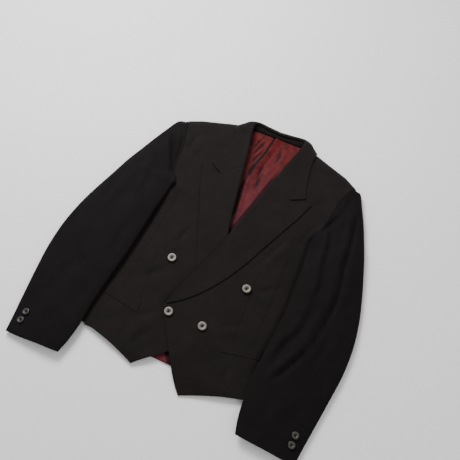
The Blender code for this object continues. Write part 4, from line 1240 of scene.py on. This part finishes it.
@dataclass
class SleeveForm:
    """The outside of a sleeve, laid beside the body, and its creases."""

    form: BodyForm
    armhole_rows: float = 1.8
    inner_share: float = 0.78
    flat: float = 0.0080
    seat: float = 0.0009
    rest: tuple = (0.058, 0.075, 0.218, 0.058)
    soft: tuple = (0.066, 0.130, 0.205, 0.150)
    roundness: float = 0.80
    hind_seam: float = math.radians(-22)
    fore_seam: float = math.radians(208)
    seam_angle: float = math.radians(1.0)
    closeness: float = 0.6
    tuck: float = 0.0030
    tuck_rows: float = 0.16
    tuck_drop: float = 0.0023

    # Each section from the armhole to the cuff: inner out and y, outer out and y, thickness
    sections = {
        Side.RIGHT: (
            (0.1645, 0.1570, 0.2090, 0.3185, 0.0200), (0.1650, 0.1450, 0.2305, 0.3130, 0.0215),
            (0.1655, 0.1290, 0.2450, 0.2820, 0.0235), (0.1675, 0.0990, 0.2625, 0.2390, 0.0240),
            (0.1695, 0.0660, 0.2800, 0.1910, 0.0235), (0.1715, 0.0300, 0.2970, 0.1400, 0.0225),
            (0.1735, -0.0080, 0.3145, 0.0880, 0.0215), (0.1765, -0.0480, 0.3285, 0.0360, 0.0205),
            (0.1810, -0.0880, 0.3375, -0.0220, 0.0200), (0.1850, -0.1300, 0.3390, -0.0830, 0.0190),
            (0.1870, -0.1720, 0.3340, -0.1430, 0.0180), (0.1880, -0.2120, 0.3280, -0.1990, 0.0170),
            (0.1920, -0.2460, 0.3230, -0.2420, 0.0160), (0.1985, -0.2745, 0.3195, -0.2785, 0.0150),
        ),
        Side.LEFT: (
            (0.1645, 0.1570, 0.2090, 0.3185, 0.0200), (0.1665, 0.1460, 0.2230, 0.3090, 0.0215),
            (0.1690, 0.1300, 0.2350, 0.2820, 0.0235), (0.1715, 0.1000, 0.2545, 0.2390, 0.0240),
            (0.1740, 0.0670, 0.2725, 0.1910, 0.0235), (0.1765, 0.0310, 0.2900, 0.1400, 0.0225),
            (0.1780, -0.0070, 0.3060, 0.0880, 0.0215), (0.1765, -0.0470, 0.3190, 0.0360, 0.0205),
            (0.1730, -0.0870, 0.3275, -0.0220, 0.0200), (0.1700, -0.1290, 0.3280, -0.0830, 0.0190),
            (0.1700, -0.1710, 0.3215, -0.1430, 0.0180), (0.1715, -0.2110, 0.3145, -0.1990, 0.0170),
            (0.1760, -0.2450, 0.3090, -0.2420, 0.0160), (0.1830, -0.2735, 0.3050, -0.2785, 0.0150),
        ),
    }
    creases = {
        Side.LEFT: (
            Crease(
                ((0.230, 0.262), (0.238, 0.230), (0.245, 0.192), (0.251, 0.129), (0.260, 0.074), (0.261, 0.028),
                 (0.249, -0.062), (0.222, -0.125), (0.205, -0.160)), 0.0056, 0.0062, -0.7,
            ),
            Crease(
                ((0.176, 0.216), (0.197, 0.188), (0.206, 0.159), (0.212, 0.109), (0.221, 0.066), (0.222, 0.020)),
                0.0038, 0.0056, -0.7,
            ),
            Crease(((0.210, 0.268), (0.200, 0.226), (0.184, 0.204), (0.172, 0.176)), 0.0020, 0.0060, -0.6),
            Crease(((0.187, 0.306), (0.204, 0.284), (0.212, 0.258)), 0.0024, 0.0064, -0.5),
            Crease(((0.226, 0.044), (0.222, -0.017), (0.210, -0.078)), 0.0026, 0.0064, -0.7),
            Crease(((0.206, -0.030), (0.201, -0.090), (0.180, -0.160)), 0.0034, 0.0080, -0.7),
            Crease(((0.236, -0.010), (0.212, -0.062), (0.184, -0.116)), 0.0026, 0.0070, -0.7),
            Crease(((0.280, 0.000), (0.272, -0.066), (0.250, -0.132)), 0.0026, 0.0085, -0.7),
            Crease(((0.310, 0.030), (0.309, -0.050), (0.298, -0.112)), 0.0018, 0.0090, -0.6),
            Crease(((0.200, 0.270), (0.192, 0.230), (0.190, 0.186)), 0.0016, 0.0070, 0.5),
            Crease(((0.286, 0.130), (0.288, 0.070), (0.280, 0.010)), 0.0016, 0.0095, 0.6),
            Crease(((0.226, -0.160), (0.222, -0.200), (0.214, -0.240)), 0.0016, 0.0090, 0.6),
            Crease(((0.272, -0.150), (0.268, -0.200), (0.262, -0.250)), 0.0014, 0.0095, -0.6),
        ),
        Side.RIGHT: (
            Crease(((0.228, 0.286), (0.204, 0.242), (0.187, 0.212), (0.168, 0.176)), 0.0058, 0.0060, 0.6),
            Crease(((0.212, 0.300), (0.198, 0.262), (0.189, 0.226), (0.182, 0.190)), -0.0046, 0.0060, 0.0),
            Crease(((0.224, 0.214), (0.216, 0.150), (0.208, 0.090)), 0.0030, 0.0085, 0.6),
            Crease(((0.258, 0.232), (0.218, 0.200), (0.184, 0.152)), 0.0022, 0.0075, 0.6),
            Crease(((0.222, 0.190), (0.248, 0.090), (0.262, -0.010)), 0.0026, 0.0110, 0.6),
            Crease(((0.290, 0.140), (0.280, 0.080), (0.288, 0.018)), 0.0018, 0.0090, 0.6),
            Crease(((0.292, -0.026), (0.270, -0.080), (0.234, -0.124)), 0.0026, 0.0095, 0.6),
            Crease(((0.248, -0.058), (0.259, -0.098), (0.268, -0.142)), 0.0020, 0.0080, -0.6),
            Crease(((0.276, -0.106), (0.284, -0.150), (0.291, -0.192)), 0.0018, 0.0075, 0.6),
            Crease(((0.250, -0.168), (0.246, -0.202), (0.240, -0.240)), 0.0018, 0.0085, 0.6),
            Crease(((0.200, 0.060), (0.206, 0.000), (0.200, -0.060)), 0.0020, 0.0090, 0.6),
            Crease(((0.206, -0.080), (0.214, -0.140), (0.212, -0.200)), 0.0018, 0.0090, -0.6),
            Crease(((0.312, 0.050), (0.322, -0.010), (0.318, -0.076)), 0.0016, 0.0090, 0.6),
        ),
    }

    @staticmethod
    def inner_edge(side: Side) -> list[Place]:
        """The inner edge of a sleeve, as out and y."""
        return [(row[0], row[1]) for row in SleeveForm.sections[side]]

    def rest_height(self, out: Values, y: Values, slope: tuple) -> Values:
        """Height of the body's side, sloping down to the floor beyond it and beside the armhole."""
        reach, ramp_out, arm_top, arm_ramp = slope
        hollow = self.form.loft(y) * self.form.pressed(out, y)
        body = BACK_WALL + SEAT + TAIL_WALL + GAP + hollow + FRONT_WALL + self.seat
        past_side = smooth((self.form.side_out(y) + reach - out) / ramp_out)
        return GAP + body * past_side * smooth((arm_top - y) / arm_ramp)

    def point(self, side: Side, row: Values, angle: Values) -> Values:
        """Places on the outside of a sleeve.

        Args:
            side: the sleeve's side.
            row: place along the table of sections. Below 0 it is the turning that is sewn inside the armhole.
            angle: angle round the section, 0 at its outer edge and a quarter turn at its top.

        Returns:
            The places, one a row.
        """
        tucked = np.clip(-row / self.tuck_rows, 0.0, 1.0)
        row = np.maximum(row, 0.0)
        section = through(self.sections[side], row)
        inner_out, inner_y, outer_out, outer_y, thick = np.moveaxis(section, -1, 0)
        cosine, sine = np.cos(angle), np.sin(angle)
        share = 0.5 + 0.5 * np.copysign(np.abs(cosine) ** self.roundness, cosine)
        rise = np.copysign(np.abs(sine) ** self.roundness, sine)
        out, y = mix(inner_out, outer_out, share), mix(inner_y, outer_y, share)
        at_arm = smooth(1.0 - row / self.armhole_rows)
        arm = through(ARMHOLE, 1.0 + share * (len(ARMHOLE) - 2))
        first = self.sections[side][0]
        out = out + (arm[..., 0] + ARM_GAP - mix(first[0], first[2], share)) * at_arm
        y = y + (arm[..., 1] - mix(first[1], first[3], share)) * at_arm
        y = y + looked_up(SHOULDER_RISE[side], out) * smooth((share - 0.8) / 0.2) * at_arm
        thick = thick * mix(self.inner_share, 1.0, smooth(share * 1.6))
        rest = self.rest_height(out, y, self.rest)
        soft = self.rest_height(out, y, self.soft)
        thick = thick - np.minimum(np.maximum(rest - soft, 0.0), thick - self.flat)
        sewn_on = self.form.front_form(side.value * (out - 2 * ARM_GAP), y, side) + FRONT_WALL - rest
        thick = mix(thick, np.maximum(sewn_on, self.flat), smooth(1.0 - row))
        z = rest + thick / 2 * (1.0 + rise)
        up = np.maximum(rise, 0.0)
        folds = relief(self.creases[side], out, y) + ripple(out, y, 0.028, 0.0006, 4.0 + side.value)
        # The cloth stands up a little where the sleeve head is sewn in, and lies fuller beside it
        head = 0.0014 * np.exp(-(((row - 0.55) / 0.45) ** 2)) * smooth((share - 0.1) / 0.3)
        away_from_cuff = smooth((len(self.sections[side]) - 1 - row) / 0.8)
        z = z + (folds * mix(0.35, 1.0, away_from_cuff) + head) * up * smooth(row * 1.4)
        z = np.where(rise > 0, mix(z, rest + thick, smooth(1.0 - row) * smooth(rise * 1.6)), z)
        # The turning goes under the edge of the front and follows the armhole inwards
        ahead = through(ARMHOLE, 1.0 + np.minimum(share + 0.02, 1.0) * (len(ARMHOLE) - 2))
        behind = through(ARMHOLE, 1.0 + np.maximum(share - 0.02, 0.0) * (len(ARMHOLE) - 2))
        run = ahead - behind
        run = run / np.linalg.norm(run, axis=-1, keepdims=True)
        out = out - run[..., 1] * self.tuck * tucked
        y = y + run[..., 0] * self.tuck * tucked - self.tuck * tucked * smooth((share - 0.8) / 0.2)
        z = z - self.tuck_drop * smooth(tucked * 2.0) * smooth(rise * 3.0)
        return joined(side.value * out, y, z)


@dataclass
class Sleeves:
    """Both sleeves, each of a top and an under half."""

    form: SleeveForm

    def half(self, side: Side, first: float, last: float) -> PlaceRule:
        """The surface of half of a sleeve, between two angles of its section."""

        def place(u: Values, v: Values) -> Values:
            row = mix(len(self.form.sections[side]) - 1.0, -self.form.tuck_rows, v)
            close = u - self.form.closeness * np.sin(2 * np.pi * u) / (2 * np.pi)
            return self.form.point(side, row, mix(last, first, close))

        return place

    def build(self, room: Workroom) -> None:
        """Makes the four halves."""
        sleeve = self.form
        for side in Side:
            right = side is Side.RIGHT
            halves = (
                ("under_sleeve", sleeve.fore_seam - 2 * math.pi + sleeve.seam_angle,
                 sleeve.hind_seam - sleeve.seam_angle, 44, 170),
                ("top_sleeve", sleeve.hind_seam + sleeve.seam_angle,
                 sleeve.fore_seam - sleeve.seam_angle, 84, 290),
            )
            for kind, first, last, columns, rows in halves:
                node = f"{kind}_{side.label}"
                below = f"under_sleeve_{side.label}_cloth" if kind == "top_sleeve" else f"front_{side.label}_cloth"
                ClothPiece(
                    node + "_cloth", self.half(side, first, last), columns, rows, SLEEVE_WALL, [node],
                    [below], Held.LAID, inside_out=right, wall_inside=True, material=room.sleeve_wool_painted_darker,
                ).make(room)


@dataclass
class Buttons:
    """Turned horn buttons on the fronts and cuffs, sewn on through four holes."""

    sleeve: SleeveForm
    front_diameter: float = 0.020
    cuff_diameter: float = 0.015
    thickness_share: float = 0.19
    cuff_seat: float = 0.0007
    hole_radius: float = 0.10
    hole_spacing: float = 0.22
    thread_radius: float = 0.00034
    cuff_spots = {
        Side.RIGHT: ((0.3000, -0.2290), (0.3005, -0.2480)),
        Side.LEFT: ((0.2860, -0.2290), (0.2865, -0.2480)),
    }
    # The turned profile, as shares of the radius and the thickness
    profile = (
        (0.00, 0.58), (0.26, 0.58), (0.34, 0.64), (0.42, 0.80), (0.50, 0.92), (0.62, 0.99), (0.78, 1.00),
        (0.89, 0.95), (0.96, 0.82), (1.00, 0.62), (0.99, 0.42), (0.95, 0.25), (0.84, 0.08), (0.70, 0.00),
        (0.00, 0.00),
    )

    def body(self, name: str, diameter: float) -> bpy.types.Mesh:
        """The mesh of one button, its underside at z = 0.

        Args:
            name: the mesh's name.
            diameter: the button's diameter.

        Returns:
            The mesh, with the share of the radius as its "ring" attribute.
        """
        radius, thickness = diameter / 2, diameter * self.thickness_share
        turned = bmesh.new()
        corners = [turned.verts.new((radius * r, 0.0, thickness * h)) for r, h in self.profile]
        edges = [turned.edges.new(pair) for pair in zip(corners, corners[1:])]
        bmesh.ops.spin(
            turned, geom=corners + edges, cent=(0, 0, 0), axis=(0, 0, 1), angle=2 * math.pi,
            steps=48, use_merge=True,
        )
        bmesh.ops.remove_doubles(turned, verts=turned.verts, dist=1e-6)
        bmesh.ops.recalc_face_normals(turned, faces=turned.faces)
        mesh = bpy.data.meshes.new(name)
        turned.to_mesh(mesh)
        turned.free()
        solid = bpy.data.objects.new(name, mesh)
        holes = bmesh.new()
        for x, y in self.hole_places(radius):
            spot = Matrix.Translation((x, y, thickness / 2))
            size = radius * self.hole_radius
            bmesh.ops.create_cone(
                holes, cap_ends=True, segments=16, radius1=size, radius2=size, depth=thickness * 3, matrix=spot
            )
        cutter_mesh = bpy.data.meshes.new(name + "_holes")
        holes.to_mesh(cutter_mesh)
        holes.free()
        cutter = bpy.data.objects.new(name + "_holes", cutter_mesh)
        for part in (solid, cutter):
            bpy.context.scene.collection.objects.link(part)
        cut = solid.modifiers.new("Holes", "BOOLEAN")
        cut.operation, cut.object = "DIFFERENCE", cutter
        graph = bpy.context.evaluated_depsgraph_get()
        finished = bpy.data.meshes.new_from_object(solid.evaluated_get(graph))
        for part in (solid, cutter):
            bpy.data.objects.remove(part)
        shares = [math.hypot(vertex.co.x, vertex.co.y) / radius for vertex in finished.vertices]
        finished.attributes.new("ring", "FLOAT", "POINT").data.foreach_set("value", shares)
        finished.shade_smooth()
        finished.set_sharp_from_angle(angle=math.radians(50))
        return finished

    def hole_places(self, radius: float) -> list[Place]:
        """Where the four holes of a button are."""
        reach = radius * self.hole_spacing
        turns = [math.radians(45 + 90 * quarter) for quarter in range(4)]
        return [(reach * math.cos(turn), reach * math.sin(turn)) for turn in turns]

    def sew(self, threads: bmesh.types.BMesh, diameter: float, matrix: Matrix) -> None:
        """Adds the crossed stitches of one button to the threads."""
        radius = diameter / 2
        holes = self.hole_places(radius)
        floor = diameter * self.thickness_share * 0.58
        for first, second in ((holes[0], holes[2]), (holes[1], holes[3])):
            a, b = Vector((*first, floor)), Vector((*second, floor))
            middle, run = (a + b) / 2, (b - a)
            for strand in (-0.5, 0.5):
                side_step = Vector((-run.y, run.x, 0)).normalized() * strand * 2 * self.thread_radius
                ring = bmesh.ops.create_circle(threads, segments=8, radius=self.thread_radius)["verts"]
                turn = run.to_track_quat("X", "Z").to_matrix().to_4x4()
                bmesh.ops.translate(threads, verts=ring, vec=(run.length / 2, 0, 0))
                geometry = list(ring) + list({edge for vertex in ring for edge in vertex.link_edges})
                made = bmesh.ops.spin(
                    threads, geom=geometry, cent=(0, 0, 0), axis=(0, -1, 0), angle=math.pi, steps=10
                )
                loops = {v for item in made["geom_last"] if isinstance(item, bmesh.types.BMVert) for v in [item]}
                arch = self.linked(list(loops)[0])
                low = Matrix.Diagonal((1.0, 1.0, 0.42, 1.0))
                bmesh.ops.transform(
                    threads, verts=arch, matrix=matrix @ Matrix.Translation(middle + side_step) @ turn @ low
                )

    @staticmethod
    def linked(start: bmesh.types.BMVert) -> list[bmesh.types.BMVert]:
        """Every vertex joined to this one."""
        found, waiting = {start}, [start]
        while waiting:
            vertex = waiting.pop()
            for edge in vertex.link_edges:
                other = edge.other_vert(vertex)
                if other not in found:
                    found.add(other)
                    waiting.append(other)
        return list(found)

    def cuff_matrix(self, side: Side, spot: Place, shift: Values) -> Matrix:
        """Place and turn of a button on a cuff, square to the cloth below it."""
        rows, angles = np.meshgrid(np.linspace(10.0, 13.0, 61), np.radians(np.linspace(20.0, 90.0, 71)))
        rows, angles = rows.ravel(), angles.ravel()
        points = self.sleeve.point(side, rows, angles)
        away = np.hypot(points[:, 0] - side.value * spot[0], points[:, 1] - spot[1])
        best = int(np.argmin(away))
        row, angle = rows[best : best + 1], angles[best : best + 1]
        along = self.sleeve.point(side, row + 0.1, angle) - self.sleeve.point(side, row - 0.1, angle)
        across = self.sleeve.point(side, row, angle + 0.05) - self.sleeve.point(side, row, angle - 0.05)
        normal = Vector(along[0]).cross(Vector(across[0])).normalized()
        normal *= math.copysign(1.0, normal.z)
        place = Vector(points[best] + shift) + normal * self.cuff_seat
        return Matrix.Translation(place) @ normal.to_track_quat("Z", "Y").to_matrix().to_4x4()

    def build(self, room: Workroom) -> None:
        """Makes the buttons and their thread."""
        threads = bmesh.new()
        spots: list[tuple[str, float, Matrix, bpy.types.Material]] = []
        for side in Side:
            for level in ("upper", "lower"):
                node = f"button_{level}_{side.label}"
                low, high = (np.array(corner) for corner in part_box(node))
                spot = Matrix.Translation((*((low + high) / 2)[:2], low[2]))
                spots.append((node, self.front_diameter, spot, room.horn))
            for level, place in zip(("high", "low"), self.cuff_spots[side]):
                node = f"cuff_button_{level}_{side.label}"
                spots.append((node, self.cuff_diameter, self.cuff_matrix(side, place, room.shift), room.dark_horn))
        for node, diameter, matrix, material in spots:
            mesh = self.body(node + "_horn", diameter)
            mesh.transform(matrix)
            obj = bpy.data.objects.new(node + "_horn", mesh)
            room.finish(obj, material)
            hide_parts(node)
            self.sew(threads, diameter, matrix)
        bmesh.ops.recalc_face_normals(threads, faces=threads.faces)
        mesh = bpy.data.meshes.new("button_threads")
        threads.to_mesh(mesh)
        threads.free()
        mesh.shade_smooth()
        room.finish(bpy.data.objects.new("button_threads", mesh), room.thread)


@dataclass
class Studio:
    """Plain floor, soft light and the camera."""

    shift: Values
    camera_place: tuple = (0.2756, -0.4971, 1.355)
    tilt: float = math.radians(26.5)
    turn: float = math.radians(24.6)
    lens: float = 54.8

    def build(self) -> None:
        """Sets up the floor, the lights and the camera."""
        shape = bmesh.new()
        bmesh.ops.create_grid(shape, x_segments=4, y_segments=4, size=6.0)
        mesh = bpy.data.meshes.new("floor")
        shape.to_mesh(mesh)
        shape.free()
        mesh.materials.append(PaperFinish().make())
        floor = bpy.data.objects.new("floor", mesh)
        bpy.context.scene.collection.objects.link(floor)

        world = bpy.data.worlds.new("studio")
        world.use_nodes = True
        world.node_tree.nodes["Background"].inputs["Color"].default_value = (1.0, 1.0, 1.0, 1.0)
        world.node_tree.nodes["Background"].inputs["Strength"].default_value = 0.55
        bpy.context.scene.world = world

        self.light("key", (-0.76, 0.76, 1.22), 0.8, 33.0)
        self.light("fill", (1.3, -0.4, 2.2), 2.0, 12.0)

        camera = bpy.data.objects.new("camera", bpy.data.cameras.new("camera"))
        camera.data.lens = self.lens
        camera.data.sensor_width = 36.0
        camera.location = Vector(self.camera_place) + Vector(self.shift)
        camera.rotation_euler = (self.tilt, 0.0, self.turn)
        bpy.context.scene.collection.objects.link(camera)
        bpy.context.scene.camera = camera

    def light(self, name: str, place: tuple, size: float, power: float) -> None:
        """Adds a soft square light that faces the coat."""
        data = bpy.data.lights.new(name, "AREA")
        data.size = size
        data.energy = power
        lamp = bpy.data.objects.new(name, data)
        lamp.location = place
        lamp.rotation_euler = (-Vector(place)).to_track_quat("-Z", "Y").to_euler()
        bpy.context.scene.collection.objects.link(lamp)


def coat_shift() -> Values:
    """How far the coat was moved from its own coordinates to lie in the frame."""
    low, high = (np.array(corner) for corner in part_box("button_upper_left"))
    middle = (low + high) / 2
    tail_low = np.array(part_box("tail_left")[0])
    return np.array([middle[0] - UPPER_BUTTON[0], middle[1] - UPPER_BUTTON[1], tail_low[2]])


def main() -> None:
    """Makes the coat and the studio, and logs the size of each piece."""
    logging.basicConfig(level=logging.INFO, format="%(name)s: %(message)s")
    shift = coat_shift()
    log.info("coat lies at %s", np.round(shift, 5).tolist())
    room = Workroom(
        shift=shift,
        wool=WoolFinish().make(),
        # A darker copy of the wool for the sleeves: painted shade, so that the sleeves look darker than the body
        sleeve_wool_painted_darker=WoolFinish("worsted wool twill of the sleeves", "#090707", "#131010", "#1d1818").make(),
        satin=SatinFinish().make(),
        # Each horn's dish, middle and edge colours include painted shade
        horn=HornFinish("grey brown horn", "#7b746e", "#665e58", "#120c0b", "#241813").make(),
        dark_horn=HornFinish("dark brown horn", "#362e2a", "#2b2421", "#0b0808", "#140e0c").make(),
        thread=ThreadFinish("black silk twist", "#0d0b0b").make(),
        red_thread=ThreadFinish("red silk twist", "#6a2528").make(),
    )
    form = BodyForm()
    lapels = Lapels(form)
    sleeve = SleeveForm(form)
    for part in (Tails(form), Back(form), Fronts(form), lapels, Collar(form, lapels), Sleeves(sleeve), Buttons(sleeve)):
        part.build(room)
        log.info("%s done", type(part).__name__)
    Studio(shift).build()


if __name__ == "__main__":
    main()
